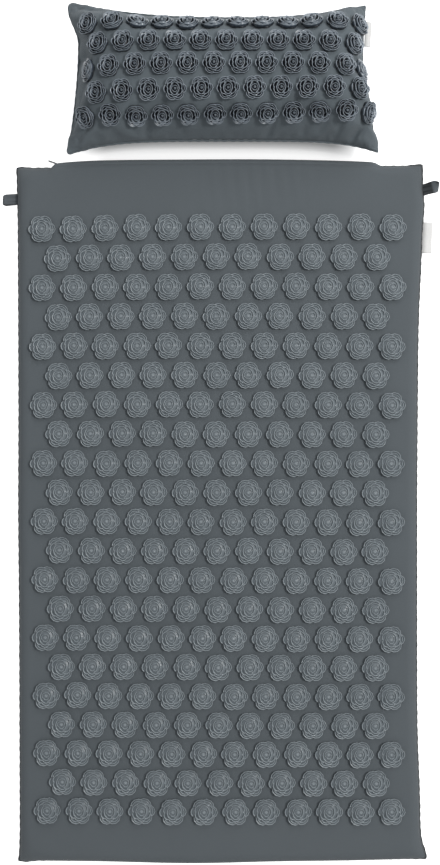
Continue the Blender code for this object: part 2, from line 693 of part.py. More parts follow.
build_mat_cover()
build_foam()
build_mat_rows()
build_zip()
build_loop("mat_loop_left", -1, LEFT_LOOP_FROM_HEAD)
build_loop("mat_loop_right", 1, RIGHT_LOOP_FROM_HEAD)
label_root = GAP + LABEL_THICKNESS / 2
build_label("mat_label", MAT_LABEL_REACH, MAT_LABEL_LENGTH,
            (SIDE_X + label_root, HEAD_Y - MAT_LABEL_FROM_HEAD, SEAM_HEIGHT), 0)

pillow_pivot = add_pivot("pillow_lift_axis", (0, PILLOW_Y, 0))
build_pillow_cover(pillow_pivot)
build_pillow_fill(pillow_pivot)
build_pillow_rows(pillow_pivot)
label_along = PILLOW_LABEL_PLACE_SHARE
label_lean = math.atan2((PILLOW_CORNER_WIDTH - PILLOW_MID_WIDTH) * label_along,
                        PILLOW_CORNER_DEPTH / 2)
build_label("pillow_label", PILLOW_LABEL_REACH, PILLOW_LABEL_LENGTH,
            (pillow_half_width(label_along) + label_root + PILLOW_LABEL_EASE,
             PILLOW_Y + label_along * PILLOW_CORNER_DEPTH / 2, PILLOW_SEAM_HEIGHT), -label_lean)
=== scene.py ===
import math

import bpy
import numpy as np
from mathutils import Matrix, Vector


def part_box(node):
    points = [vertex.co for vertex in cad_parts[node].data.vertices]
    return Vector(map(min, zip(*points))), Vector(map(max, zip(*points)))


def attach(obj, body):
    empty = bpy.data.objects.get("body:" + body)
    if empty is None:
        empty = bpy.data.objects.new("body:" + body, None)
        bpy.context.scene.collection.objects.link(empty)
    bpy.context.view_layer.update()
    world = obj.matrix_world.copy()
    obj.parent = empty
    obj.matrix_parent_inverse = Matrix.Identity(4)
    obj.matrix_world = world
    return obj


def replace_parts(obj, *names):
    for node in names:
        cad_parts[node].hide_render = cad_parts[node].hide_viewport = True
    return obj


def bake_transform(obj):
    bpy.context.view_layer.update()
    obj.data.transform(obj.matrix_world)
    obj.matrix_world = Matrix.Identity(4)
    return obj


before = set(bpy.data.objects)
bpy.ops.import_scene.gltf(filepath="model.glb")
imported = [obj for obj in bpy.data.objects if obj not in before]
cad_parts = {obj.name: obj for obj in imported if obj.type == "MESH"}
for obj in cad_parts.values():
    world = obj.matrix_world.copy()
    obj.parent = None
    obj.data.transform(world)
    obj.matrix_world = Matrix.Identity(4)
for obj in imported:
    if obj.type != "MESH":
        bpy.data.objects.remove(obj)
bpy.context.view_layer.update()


# The studio. The mat and its pillow lie on a white floor and are seen from straight above. A
# large soft lamp stands beyond the head end on the right, and a pale sky fills the shadows.
VIEW_HEIGHT = 1.174
VIEW_X, VIEW_Y = 0.0005, 0.0779
VIEW_HALF_ANGLE = math.radians(20.47)     # half of what the picture's long side takes in
SENSOR = 36.0

camera_data = bpy.data.cameras.new("camera")
camera_data.sensor_width = SENSOR
camera_data.lens = SENSOR / 2 / math.tan(VIEW_HALF_ANGLE)
camera_data.clip_start, camera_data.clip_end = 0.01, 20
camera = bpy.data.objects.new("camera", camera_data)
camera.location = (VIEW_X, VIEW_Y, VIEW_HEIGHT)
bpy.context.scene.collection.objects.link(camera)
bpy.context.scene.camera = camera
bpy.context.scene.view_settings.view_transform = "Standard"


def soft_lamp(name, place, aim, size, watts, tint):
    """A square area lamp at a place, turned so that its face looks at the aim."""
    lamp_data = bpy.data.lights.new(name, "AREA")
    lamp_data.size, lamp_data.energy, lamp_data.color = size, watts, tint
    lamp = bpy.data.objects.new(name, lamp_data)
    lamp.location = place
    lamp.rotation_mode = "QUATERNION"
    lamp.rotation_quaternion = (Vector(aim) - Vector(place)).to_track_quat("-Z", "Y")
    bpy.context.scene.collection.objects.link(lamp)


soft_lamp("key_lamp", place=(1.58, 0.48, 2.30), aim=(0.02, 0.05, 0), size=0.62, watts=39,
          tint=(1.0, 0.997, 0.985))
soft_lamp("head_lamp", place=(0.42, 1.22, 0.85), aim=(0.05, 0.42, 0), size=0.7, watts=4.6,
          tint=(0.97, 0.985, 1.0))


def new_material(name):
    """An empty node material with its output, and the tree that it is wired in."""
    made = bpy.data.materials.new(name)
    made.use_nodes = True
    tree = made.node_tree
    tree.nodes.clear()
    return made, tree, tree.nodes.new("ShaderNodeOutputMaterial")


def add_node(tree, kind, links=None, **values):
    """A shader node of a kind, with input values by name, and links from sockets to its inputs."""
    made = tree.nodes.new("ShaderNode" + kind)
    for key, value in values.items():
        if hasattr(made, key):
            setattr(made, key, value)
        else:
            made.inputs[key.replace("_", " ")].default_value = value
    for key, socket in (links or {}).items():
        tree.links.new(socket, made.inputs[key])
    return made


def sums(operation, first, second=0):
    """A Math node of two inputs, each a socket or a number, in the sockets' own tree."""
    links = {place: value for place, value in enumerate((first, second))
             if isinstance(value, bpy.types.NodeSocket)}
    made = add_node(next(iter(links.values())).id_data, "Math", links, operation=operation)
    for place, value in enumerate((first, second)):
        if place not in links:
            made.inputs[place].default_value = value
    return made.outputs[0]


def map_range(value, start, end, at_start, at_end, **kind):
    """A value taken from one range to another, and held at the range's ends."""
    made = add_node(value.id_data, "MapRange", {0: value}, **kind)
    for place, number in enumerate((start, end, at_start, at_end), 1):
        made.inputs[place].default_value = number
    return made.outputs[0]


def seen_rays(tree):
    """1 for the rays that show a surface to the eye, 0 for those that only carry its light."""
    path = add_node(tree, "LightPath").outputs
    seen = sums("MAXIMUM", path["Is Camera Ray"], path["Is Glossy Ray"])
    return sums("MAXIMUM", seen, path["Is Transmission Ray"])


WHITE = (1, 1, 1, 1)
SKY_COLOUR = (0.97, 0.985, 1.0, 1)
SKY_STRENGTH = 0.50

world = bpy.data.worlds.new("studio_sky")
world.use_nodes = True
sky = world.node_tree
sky.nodes.clear()
sky_lit = add_node(sky, "Background", Color=SKY_COLOUR, Strength=SKY_STRENGTH)
sky_seen = add_node(sky, "Background", Color=WHITE, Strength=1.0)
sky_mix = add_node(sky, "MixShader", {
    0: seen_rays(sky), 1: sky_lit.outputs[0], 2: sky_seen.outputs[0]})
add_node(sky, "OutputWorld", {"Surface": sky_mix.outputs[0]})
bpy.context.scene.world = world

FLOOR_REACH = 6.0
FLOOR_COLOUR = (0.64, 0.64, 0.64, 1)
FLOOR_GLOW = 1.0                          # only for the eye, so that the floor reads as white
# The pillow's shadow in the gap before the mat: less glow, and only while the pillow lies there
SHADE_GLOW, SHADE_END = 0.15, 0.57        # the glow left: near the pillow, and farther off
SHADE_Y, SHADE_DEPTH = 0.3723, 0.0082     # where the shade starts, and how soon it grows lighter
SHADE_X, SHADE_FADE = 0.112, 0.040        # the shade's end to both sides
SHADE_BOW, BOW_POWER = 0.0125, 4          # how much it bends towards the foot out to the sides
SHADE_HALF, SHADE_SOFT = 0.032, 0.012     # how far it reaches to the foot and to the head
OPEN_REACH = 0.06                         # how far about a place its open share of sky is judged
OPEN_FROM, OPEN_TO = 0.50, 0.78           # the open share at which the shade starts to go, and is gone

floor_finish, tree, output = new_material("pale_floor")
floor_cloth = add_node(tree, "BsdfDiffuse", Color=FLOOR_COLOUR)
floor_place = add_node(tree, "TexCoord")
floor_xyz = add_node(tree, "SeparateXYZ", {0: floor_place.outputs["Object"]})


def inside(value, end, fade):
    """1 where a value is below an end, falling to 0 within the fade beyond it."""
    return map_range(value, end, end + fade, 1, 0, interpolation_type="SMOOTHSTEP")


off_middle = sums("ABSOLUTE", floor_xyz.outputs["X"])
off_gap = sums("ABSOLUTE", sums("SUBTRACT", floor_xyz.outputs["Y"], SHADE_Y))
open_share = add_node(tree, "AmbientOcclusion", samples=8, Distance=OPEN_REACH)
strip = sums("MULTIPLY", inside(off_middle, SHADE_X, SHADE_FADE), inside(off_gap, SHADE_HALF, SHADE_SOFT))
strip = sums("MULTIPLY", strip, inside(open_share.outputs["AO"], OPEN_FROM, OPEN_TO - OPEN_FROM))
bow = sums("POWER", sums("DIVIDE", off_middle, SHADE_X + SHADE_FADE), BOW_POWER)
bowed_y = sums("ADD", floor_xyz.outputs["Y"], sums("MULTIPLY", bow, SHADE_BOW))
shade = map_range(bowed_y, SHADE_Y - SHADE_DEPTH, SHADE_Y,
                  FLOOR_GLOW - SHADE_END, FLOOR_GLOW - SHADE_GLOW)
glow = sums("SUBTRACT", FLOOR_GLOW, sums("MULTIPLY", strip, shade))
floor_glow = add_node(tree, "Emission", {"Strength": sums("MULTIPLY", seen_rays(tree), glow)}, Color=WHITE)
floor_sum = add_node(tree, "AddShader", {0: floor_cloth.outputs[0], 1: floor_glow.outputs[0]})
tree.links.new(floor_sum.outputs[0], output.inputs["Surface"])


def surface(name, points, finish, quads, smooth=True):
    """A mesh object from an array of points and an array of four-cornered faces."""
    points = np.asarray(points, np.float32).reshape(-1, 3)
    quads = np.asarray(quads, np.int32).reshape(-1, 4)
    mesh = bpy.data.meshes.new(name)
    mesh.vertices.add(len(points))
    mesh.vertices.foreach_set("co", points.ravel())
    mesh.loops.add(quads.size)
    mesh.loops.foreach_set("vertex_index", quads.ravel())
    mesh.polygons.add(len(quads))
    mesh.polygons.foreach_set("loop_start", np.arange(0, quads.size, 4, dtype=np.int32))
    mesh.polygons.foreach_set("use_smooth", np.full(len(quads), smooth))
    mesh.update(calc_edges=True)
    mesh.materials.append(finish)
    made = bpy.data.objects.new(name, mesh)
    bpy.context.scene.collection.objects.link(made)
    return made


def grid_quads(rows, columns, ring_rows=False, ring_columns=False):
    """Faces of a grid of points, row by row. A ring's last line joins its first one."""
    index = np.arange(rows * columns).reshape(rows, columns)
    if ring_rows:
        index = np.vstack([index, index[:1]])
    if ring_columns:
        index = np.hstack([index, index[:, :1]])
    return np.stack([index[:-1, :-1], index[:-1, 1:], index[1:, 1:], index[1:, :-1]], -1).reshape(-1, 4)


def rim_cycle(index):
    """The point numbers round the rim of a grid of points, in order."""
    return np.concatenate([index[0, :-1], index[:-1, -1], index[-1, :0:-1], index[:0:-1, 0]])


def lay_uv(piece, across, along):
    """A UV map in metres: one pair of lengths along the cloth for each point of the mesh."""
    mesh = piece.data
    corner = np.zeros(len(mesh.loops), np.int32)
    mesh.loops.foreach_get("vertex_index", corner)
    pairs = np.stack([np.ravel(across)[corner], np.ravel(along)[corner]], -1)
    layer = mesh.uv_layers.new(name="cloth_lengths")
    layer.data.foreach_set("uv", pairs.astype(np.float32).ravel())


def tag_points(piece, name, values):
    """A number at each point, which the material reads by name."""
    layer = piece.data.attributes.new(name, "FLOAT", "POINT")
    layer.data.foreach_set("value", np.ravel(values).astype(np.float32))


corners = np.array([[-1, -1, 0], [1, -1, 0], [1, 1, 0], [-1, 1, 0]]) * FLOOR_REACH
surface("floor", corners, floor_finish, [[0, 1, 2, 3]], smooth=False)


# The mat's cover. Two panels of slate-grey cotton are sewn together inside out and turned, so the
# seam stands out as a thin ridge and the corners end in small ears. Foam holds the top flat.
SEAM_Z = 0.011
TOP_Z = 0.0240
FOOT_EDGE, HEAD_EDGE = -0.3508, 0.3437
HALF_WIDTH = 0.2                          # rounded, for the lines' spacing and the gap to the sides
TOP_ROLL, BELLY_ROLL = 0.0125, 0.0085     # how far in from the seam each panel is still curved
ROLL_POWER = 2.3                          # how squarely the roll is rounded
CORNER_ROUND, CORNER_GAIN = 0.022, 0.9    # near a corner the roll is wider, by this share of itself
EDGE_LINES = 18
LINE_SPACING = 0.0042
ZIP_HALF = 0.1610                         # the opening's end, from the middle
ZIP_DEPTH = 0.02                          # how far in the opening lifts and lowers the panels
ZIP_LIFT, ZIP_DROP = 0.0052, 0.0045
FOLD_LEFT, FOLD_RIGHT = -0.1660, 0.1665   # ends of the fold that hides the zip
FOLD_SEEN, FOLD_OPEN = 0.001, 0.0015      # the rise from which the fold is the edge, and is open
FULL_TURN = 6.283
RIPPLE_WAVES, RIPPLE_SEED, WAVINESS = 7, 5, 0.00022
WRINKLE_LENGTH, WRINKLE_HEIGHT = 0.0135, 0.00060
STITCH_PINCH = 0.0011                     # depth, and width, of the line that holds the fold
CLOTH_THICKNESS = 0.0008
# The share of colour that the cloth loses at the seam is painted shade
SEAM_PAINTED_SHADE = 0.40                            # share of its colour that the cloth loses at the seam
LEFT_LOOP_Y, RIGHT_LOOP_Y = 0.312, 0.3205


def step_up(value, start, width):
    """A smooth step from 0 to 1 about its start."""
    return 1 / (1 + np.exp((start - value) / width))


def ramp(value, start, length):
    """The share of a length that a value is past its start, from 0 to 1."""
    return np.clip((value - start) / length, 0, 1)


def hump(value, centre, width):
    """A round hump of height 1 at its centre, gone some two widths off."""
    return np.exp(-((value - centre) / width) ** 2)


def stacked(x, y, z):
    """Points from their X, Y and Z, where a row or a number is repeated to fit the others."""
    return np.stack(np.broadcast_arrays(x, y, z), -1)


def between(low, high, share):
    """The value at a share from -1, the low one, to 1, the high one."""
    return (low + high) / 2 + share * (high - low) / 2


def left_side(along):
    """X of the left seam, from -1 at the foot to 1 at the head: a slow taper, ears at both ends."""
    return -(0.2004 + 0.0011 * along + 0.0006 * hump(along, 0, 0.2)
             + 0.0019 * np.exp(-(1 + along) / 0.03) + 0.0016 * np.exp(-(1 - along) / 0.08))


def right_side(along):
    """X of the right seam: it widens towards the head, and flares at the foot's corner."""
    taper = 0.1974 + 0.0025 * np.clip(along - 0.05, 0, None) + 0.0036 * step_up(along, 0.66, 0.06)
    foot_flare = 0.0036 * step_up(-along, 0.74, 0.06) + 0.0060 * hump(along, -1, 0.045)
    return taper + foot_flare + 0.0018 * hump(along, 0.875, 0.045)


def head_side(across):
    """Y of the head seam: nearly straight, a little askew, with small ears."""
    ears = 0.0008 * hump(across, -0.97, 0.03) + 0.0014 * hump(across, 0.99, 0.05)
    return HEAD_EDGE + 0.0011 * across + ears


def foot_side(across):
    """Y of the foot seam: it sags to the left of the middle and draws in to the right."""
    sag = 0.0024 * hump(across, -0.15, 0.36) + 0.0012 * hump(across, -0.96, 0.04)
    return FOOT_EDGE - sag + 0.0016 * step_up(across, 0.72, 0.08)


def fold_rise(x):
    """How far the fold stands over the zip: a plateau with steps at its ends, longer on the right."""
    share = np.clip((x - (FOLD_LEFT + FOLD_RIGHT) / 2) / ((FOLD_RIGHT - FOLD_LEFT) / 2), -1, 1)
    left_step, right_step = ramp(x, FOLD_LEFT, 0.0020) ** 0.6, ramp(-x, -FOLD_RIGHT, 0.017)
    shape = np.where(share < 0, 0.0036 + 0.0034 * (1 - np.abs(share) ** 6),
                     0.0030 + 0.0040 * (1 - np.abs(share) ** 2))
    return left_step * (3 - 2 * right_step) * right_step ** 2 * shape


def edge_shares(half, roll):
    """Shares from -1 to 1, close together within the rolled edges and even between them."""
    edge = roll * (1 - np.cos(np.linspace(0, np.pi / 2, EDGE_LINES + 1)))
    inner = np.linspace(-(half - roll), half - roll, int(2 * (half - roll) / LINE_SPACING))
    return np.concatenate([-half + edge[:-1], inner, (half - edge[:-1])[::-1]]) / half


def roll_height(distance, reach):
    """Height of a rolled edge, from 0 at the seam to 1 at its reach: a superellipse's quarter."""
    return (1 - (1 - ramp(distance, 0, reach)) ** ROLL_POWER) ** (1 / ROLL_POWER)


def ripple(x, y):
    """A slow waviness of -1 to 1: a few sine waves of fixed random lengths and directions."""
    random = np.random.default_rng(RIPPLE_SEED)
    total = np.zeros_like(x)
    for _ in range(RIPPLE_WAVES):
        turn, length, phase = random.uniform(0, 3.14), random.uniform(0.05, 0.13), random.uniform(0, 6.28)
        total += np.sin((x * np.cos(turn) + y * np.sin(turn)) * FULL_TURN / length + phase)
    return total / RIPPLE_WAVES


def panel_points(across, along, upper):
    """Points of a panel: the seam's outline filled in, raised by the rolled edge's height.

    The height is the product of the roll across and the roll along, so the corners, which the
    foam doesn't fill, stay lower. Over the zip the upper panel runs on into its fold.
    """
    x = between(left_side(along), right_side(along), across)
    foot, head = foot_side(across), head_side(across) + (fold_rise(x) if upper else 0)
    y = between(foot, head, along)
    side_gap = (1 - np.abs(across)) * HALF_WIDTH
    end_gap = np.where(along > 0, head - y, y - foot)
    corner = np.exp(-(side_gap ** 2 + end_gap ** 2) / CORNER_ROUND ** 2)
    reach = (TOP_ROLL if upper else BELLY_ROLL) * (1 + CORNER_GAIN * corner)
    share = roll_height(side_gap, reach) * roll_height(end_gap, reach)
    over_zip = fold_rise(x) > FOLD_OPEN if upper else np.abs(x) < ZIP_HALF
    slot = np.where((along > 0) & over_zip, 1 - ramp(end_gap, 0, ZIP_DEPTH), 0)
    if not upper:
        return stacked(x, y, (SEAM_Z - ZIP_DROP * slot) * (1 - share))
    seam = SEAM_Z + ZIP_LIFT * slot
    near_head = hump(y, 0.335, 0.045) * hump(x, 0.035, 0.055)
    wrinkles = near_head * np.sin((x + 0.15 * y) * FULL_TURN / WRINKLE_LENGTH)
    wave = WAVINESS * ripple(x, y) + WRINKLE_HEIGHT * wrinkles
    pinch = STITCH_PINCH * hump(end_gap, ZIP_LIFT, STITCH_PINCH) * np.clip(slot * 1.2, 0, 1)
    return stacked(x, y, seam + (TOP_Z - seam) * share + wave * share - pinch)


def cloth_lengths(points):
    """Lengths along the cloth from the first line, across and along, for the weave."""
    across = np.linalg.norm(np.diff(points, axis=1), axis=2).cumsum(axis=1)
    along = np.linalg.norm(np.diff(points, axis=0), axis=2).cumsum(axis=0)
    return np.pad(across, ((0, 0), (1, 0))), np.pad(along, ((1, 0), (0, 0)))


# Plain weave: warp and weft threads are two rows of sine ridges, which take turns on top
weave = bpy.data.node_groups.new("plain_weave", "ShaderNodeTree")
for way, key, kind in (("INPUT", "Lengths", "Vector"), ("INPUT", "Thread", "Float"),
                       ("INPUT", "Cloth Colour", "Color"), ("OUTPUT", "Color", "Color"),
                       ("OUTPUT", "Height", "Float"), ("OUTPUT", "Roughness", "Float")):
    weave.interface.new_socket(key, in_out=way, socket_type="NodeSocket" + kind)
weave_in, weave_out = weave.nodes.new("NodeGroupInput"), weave.nodes.new("NodeGroupOutput")
split = add_node(weave, "SeparateXYZ", {0: weave_in.outputs["Lengths"]})
turns = sums("DIVIDE", math.pi, weave_in.outputs["Thread"])
warp = sums("SINE", sums("MULTIPLY", split.outputs["X"], turns))
weft = sums("SINE", sums("MULTIPLY", split.outputs["Y"], turns))
which = sums("GREATER_THAN", sums("MULTIPLY", warp, weft), 0)
warp_up, weft_up = sums("ABSOLUTE", warp), sums("ABSOLUTE", weft)
threads = add_node(weave, "Mix", {0: which, 2: weft_up, 3: warp_up})
slub_stretch = add_node(weave, "VectorMath", {0: weave_in.outputs["Lengths"]}, operation="MULTIPLY")
slub_stretch.inputs[1].default_value = (160, 1300, 1)
slub = add_node(weave, "TexNoise", {"Vector": slub_stretch.outputs[0]}, Scale=1.0, Detail=2.0)
patch = add_node(weave, "TexNoise", {"Vector": weave_in.outputs["Lengths"]},
                 Scale=14.0, Detail=3.0, Roughness=0.55)
fleck = add_node(weave, "TexNoise", {"Vector": weave_in.outputs["Lengths"]},
                 Scale=420.0, Detail=2.0)
uneven = sums("ADD", patch.outputs[0], sums("MULTIPLY", slub.outputs[0], 0.6))
uneven = sums("ADD", uneven, sums("MULTIPLY", fleck.outputs[0], 0.5))
uneven = sums("SUBTRACT", uneven, 1.05)
light = sums("ADD", 0.96, sums("MULTIPLY", uneven, 0.16))
light = sums("ADD", light, sums("MULTIPLY", threads.outputs[0], 0.07))
tinted = add_node(weave, "VectorMath", {0: weave_in.outputs["Cloth Colour"], "Scale": light},
                  operation="SCALE")
height = sums("ADD", threads.outputs[0], sums("MULTIPLY", slub.outputs[0], 0.5))
roughness = sums("ADD", 0.86, sums("MULTIPLY", uneven, 0.15))
for key, socket in (("Color", tinted.outputs[0]), ("Height", height), ("Roughness", roughness)):
    weave.links.new(socket, weave_out.inputs[key])


def to_linear(*channels):
    """A screen colour of 0 to 255 a channel as a linear colour."""
    share = np.array(channels) / 255
    linear = np.where(share <= 0.04045, share / 12.92, ((share + 0.055) / 1.055) ** 2.4)
    return (*[float(c) for c in linear], 1.0)


def cotton(name, colour, thread=0.0006, relief=0.00012, sheen=0.12):
    """Dyed cotton in plain weave, laid by the piece's own lengths, with painted shade and highlights."""
    made, tree, output = new_material(name)
    lengths = add_node(tree, "UVMap", uv_map="cloth_lengths")
    threads = add_node(tree, "Group", node_tree=weave)
    tree.links.new(lengths.outputs[0], threads.inputs["Lengths"])
    threads.inputs["Thread"].default_value = thread
    threads.inputs["Cloth Colour"].default_value = colour
    bump = add_node(tree, "Bump", {"Height": threads.outputs["Height"]},
                    Strength=0.55, Distance=relief)
    # Painted shade and painted highlights, tagged on the piece's points, darken or lighten the colour
    painted_shading = add_node(tree, "Attribute", attribute_name="painted_shading")
    left = sums("SUBTRACT", 1, painted_shading.outputs["Fac"])
    darker = add_node(tree, "VectorMath", {0: threads.outputs["Color"], "Scale": left},
                      operation="SCALE")
    shader = add_node(tree, "BsdfPrincipled", {
        "Base Color": darker.outputs[0], "Roughness": threads.outputs["Roughness"],
        "Normal": bump.outputs[0]}, Sheen_Weight=sheen, Sheen_Roughness=0.5, Specular_IOR_Level=0.25)
    tree.links.new(shader.outputs[0], output.inputs["Surface"])
    return made


mat_cotton = cotton("mat_cotton_weave", to_linear(88, 94, 98))

along_shares = edge_shares((HEAD_EDGE - FOOT_EDGE) / 2, TOP_ROLL)
across_shares = edge_shares(HALF_WIDTH, TOP_ROLL)
share_x, share_y = np.meshgrid(across_shares, along_shares)


def painted_edge_shading(points):
    """How much painted shade the cloth gets: a band along the seam, and a paler ridge of painted highlight
    inside it.

    There is more painted shade in a crease by the left loop, and on the right along the seam, near
    the head's corner and at the loop. The fold over the zip gets a painted highlight.
    """
    x, y = points[..., 0], points[..., 1]
    folded = fold_rise(x) > FOLD_SEEN
    right_gap, head_gap = right_side(share_y) - x, head_side(share_x) - y
    gap = np.minimum(np.minimum(x - left_side(share_y), right_gap),
                     np.minimum(y - foot_side(share_x), np.where(folded, 1, head_gap)))
    hood_gap = head_gap + fold_rise(x) + np.where(folded, 0, 1)
    # Painted shade along the seam, in the crease and at the loop; painted highlights on the ridge and the
    # fold
    band = SEAM_PAINTED_SHADE * 1.05 * hump(gap, 0, 0.0011)
    ridge = (0.05 * hump(gap, 0.0038, 0.0013) - 0.10 * hump(gap, 0.0022, 0.0007)
             - 0.11 * hump(hood_gap, 0, 0.007))
    left_crease = 0.24 * hump(gap, 0.0029, 0.0008) * (x < 0) * hump(y, LEFT_LOOP_Y, 0.022)
    right_line = 0.40 * hump(gap, 0.0014, 0.0008) * (x > 0.19)
    right_corner = 0.15 * hump(right_gap, 0, 0.018) * hump(y, 0.343, 0.032)
    loop_root = 0.34 * hump(right_gap, 0.0008, 0.0026) * hump(y, RIGHT_LOOP_Y, 0.0064)
    return band + ridge + left_crease + right_line + right_corner + loop_root


def panel(name, upper):
    """One panel of the cover, as a grid with the cloth's thickness put on its inside."""
    points = panel_points(share_x, share_y, upper)
    quads = grid_quads(*share_x.shape)
    made = surface(name, points, mat_cotton, quads if upper else quads[:, ::-1])
    lay_uv(made, *cloth_lengths(points))
    tag_points(made, "painted_shading", painted_edge_shading(points))
    wall = made.modifiers.new("cloth", "SOLIDIFY")
    wall.thickness = CLOTH_THICKNESS
    wall.offset = -1
    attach(made, "mat")
    return made


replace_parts(panel("mat_cover_top", True), "mat_top_panel")
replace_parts(panel("mat_cover_bottom", False), "mat_bottom_panel")


# The seam round the mat: the folded edges of both panels, caught by a lockstitch that puckers
# them every few millimetres. It is left open along the zip.
SEAM_RADIUS = 0.0011
SEAM_STEP = 0.0015
SEAM_SIDES, SEAM_FLATNESS = 8, 0.8
PUCKER, LONG_PUCKER = 0.0085, 0.0233
ZIP_SEAM_REACH = 0.004                    # the seam this near the head edge can be the open one
SIDE_POINTS, END_POINTS = 460, 270


def seam_path():
    """Points round the outline: up the right side, along the head, down the left, along the foot."""
    t, w = np.linspace(-1, 1, SIDE_POINTS), np.linspace(-1, 1, END_POINTS)
    right = stacked(right_side(t), between(foot_side(1.0), head_side(1.0), t), SEAM_Z)
    left = stacked(left_side(t), between(foot_side(-1.0), head_side(-1.0), t), SEAM_Z)
    head = stacked(between(left_side(1.0), right_side(1.0), w), head_side(w), SEAM_Z)
    foot = stacked(between(left_side(-1.0), right_side(-1.0), w), foot_side(w), SEAM_Z)
    return np.concatenate([right[:-1], head[::-1][:-1], left[::-1][:-1], foot[:-1]])


def lengths_along(line):
    """The length gone at each point of a path."""
    return np.concatenate([[0], np.linalg.norm(np.diff(line, axis=0), axis=1).cumsum()])


def at_lengths(line, gone, wanted):
    """The points of a path, or of other values held at its points, at the lengths wanted."""
    return np.stack([np.interp(wanted, gone, line[:, k]) for k in range(3)], -1)


def even_steps(line, step, closed):
    """The same path with points at equal steps along it."""
    if closed:
        line = np.vstack([line, line[:1]])
    gone = lengths_along(line)
    wanted = np.linspace(0, gone[-1], int(round(gone[-1] / step)), endpoint=not closed)
    return at_lengths(line, gone, wanted)


def sweep(line, profile, closed, up=(0, 0, 1)):
    """Points of a profile carried along a path: out to the side by its X, up by its Y.

    The profile is one outline, or an array with an outline for each point of the path.
    """
    run = np.roll(line, -1, 0) - np.roll(line, 1, 0) if closed else np.gradient(line, axis=0)
    run /= np.linalg.norm(run, axis=1)[:, None]
    side = np.cross(run, up)
    side /= np.linalg.norm(side, axis=1)[:, None]
    rise = np.cross(side, run)
    profile = np.broadcast_to(profile, (len(line),) + np.shape(profile)[-2:])
    return line[:, None] + profile[..., :1] * side[:, None] + profile[..., 1:] * rise[:, None]


def close_ends(rings):
    """Draws the first and the last ring of a sweep together into a point."""
    rings[0], rings[-1] = rings[0].mean(axis=0), rings[-1].mean(axis=0)


def tube(name, rings, finish):
    """A piece from closed rings of points, each joined to the next."""
    return surface(name, rings, finish, grid_quads(*rings.shape[:2], ring_columns=True))


bead_turn = np.linspace(0, 2 * np.pi, SEAM_SIDES, endpoint=False)
bead_round = np.stack([np.cos(bead_turn), SEAM_FLATNESS * np.sin(bead_turn)], -1)


def seam_bead(name, line, radius, swell, finish, kept=None):
    """A seam as a roll along a closed line, or only along the points kept, with its ends closed."""
    rings = sweep(line, bead_round * radius * swell[:, None, None], True)
    if kept is not None:
        rings = rings[kept]
        close_ends(rings)
    quads = grid_quads(*rings.shape[:2], ring_rows=kept is None, ring_columns=True)
    made = surface(name, rings, finish, quads[:, ::-1])
    lay_uv(made, np.repeat(np.arange(len(rings)) * SEAM_STEP, len(bead_turn)),
           np.tile(bead_turn * SEAM_RADIUS, len(rings)))
    return made


seam_line = even_steps(seam_path(), SEAM_STEP, True)
seam_phase = np.arange(len(seam_line)) * SEAM_STEP * 2 * np.pi
swell = 1 + 0.16 * np.sin(seam_phase / PUCKER) + 0.08 * np.sin(seam_phase / LONG_PUCKER)
open_zip = (seam_line[:, 1] > HEAD_EDGE - ZIP_SEAM_REACH) & (np.abs(seam_line[:, 0]) < ZIP_HALF)
order = np.roll(np.arange(len(seam_line)), -int(np.argmax(open_zip)))
seam = seam_bead("mat_seam", seam_line, SEAM_RADIUS, swell, mat_cotton, order[~open_zip[order]])
# The seam bead is darkened all round with painted shade
tag_points(seam, "painted_shading", np.full(len(seam.data.vertices), SEAM_PAINTED_SHADE * 1.8))
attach(seam, "mat")


# The foam slab inside the cover: open-celled, cut square and pressed round at its edges by the
# cloth. It isn't seen unless the cover is opened.
FOAM_MIDDLE = np.array([0, -0.003, 0.0125])
FOAM_SHARES = np.array([0.985, 0.975, 0.84])    # of the cover's own size
FOAM_THINNING = 4                         # one of so many of the cover's lines is enough


def speckled(name, dark, pale, rough, texture="TexNoise", stretch=(1, 1, 1), rough_gain=0,
             bump=None, metallic=0.0, **settings):
    """A finish mottled by one texture, from a dark to a pale colour.

    The gain makes it rougher where it is pale. A bump is its strength and its distance, and the
    settings are the texture's own.
    """
    made, tree, output = new_material(name)
    place = add_node(tree, "TexCoord")
    laid = add_node(tree, "Mapping", {0: place.outputs["Object"]}, Scale=stretch)
    pattern = add_node(tree, texture, {"Vector": laid.outputs[0]}, **settings).outputs[0]
    tint = add_node(tree, "ValToRGB", {0: pattern})
    tint.color_ramp.elements[0].color, tint.color_ramp.elements[1].color = dark, pale
    links = {"Base Color": tint.outputs[0]}
    if rough_gain:
        links["Roughness"] = sums("ADD", rough, sums("MULTIPLY", pattern, rough_gain))
    if bump:
        strength, distance = bump
        relief = add_node(tree, "Bump", {"Height": pattern}, Strength=strength, Distance=distance)
        links["Normal"] = relief.outputs[0]
    shader = add_node(tree, "BsdfPrincipled", links, Roughness=rough, Metallic=metallic)
    tree.links.new(shader.outputs[0], output.inputs["Surface"])
    return made


def closed_slab(upper, lower):
    """Points and faces of the slab between two sheets of points on the same grid."""
    index = np.arange(upper[..., 0].size).reshape(upper.shape[:2])
    quads, rim = grid_quads(*index.shape), rim_cycle(index)
    low = rim + index.size
    band = np.stack([rim, low, np.roll(low, -1), np.roll(rim, -1)], -1)
    return (np.concatenate([upper.reshape(-1, 3), lower.reshape(-1, 3)]),
            np.concatenate([quads, quads[:, ::-1] + index.size, band]))


def shrunk(points, middle, shares):
    """The points drawn in towards a middle, so that they keep these shares of their distance."""
    return (points - middle) * shares + middle


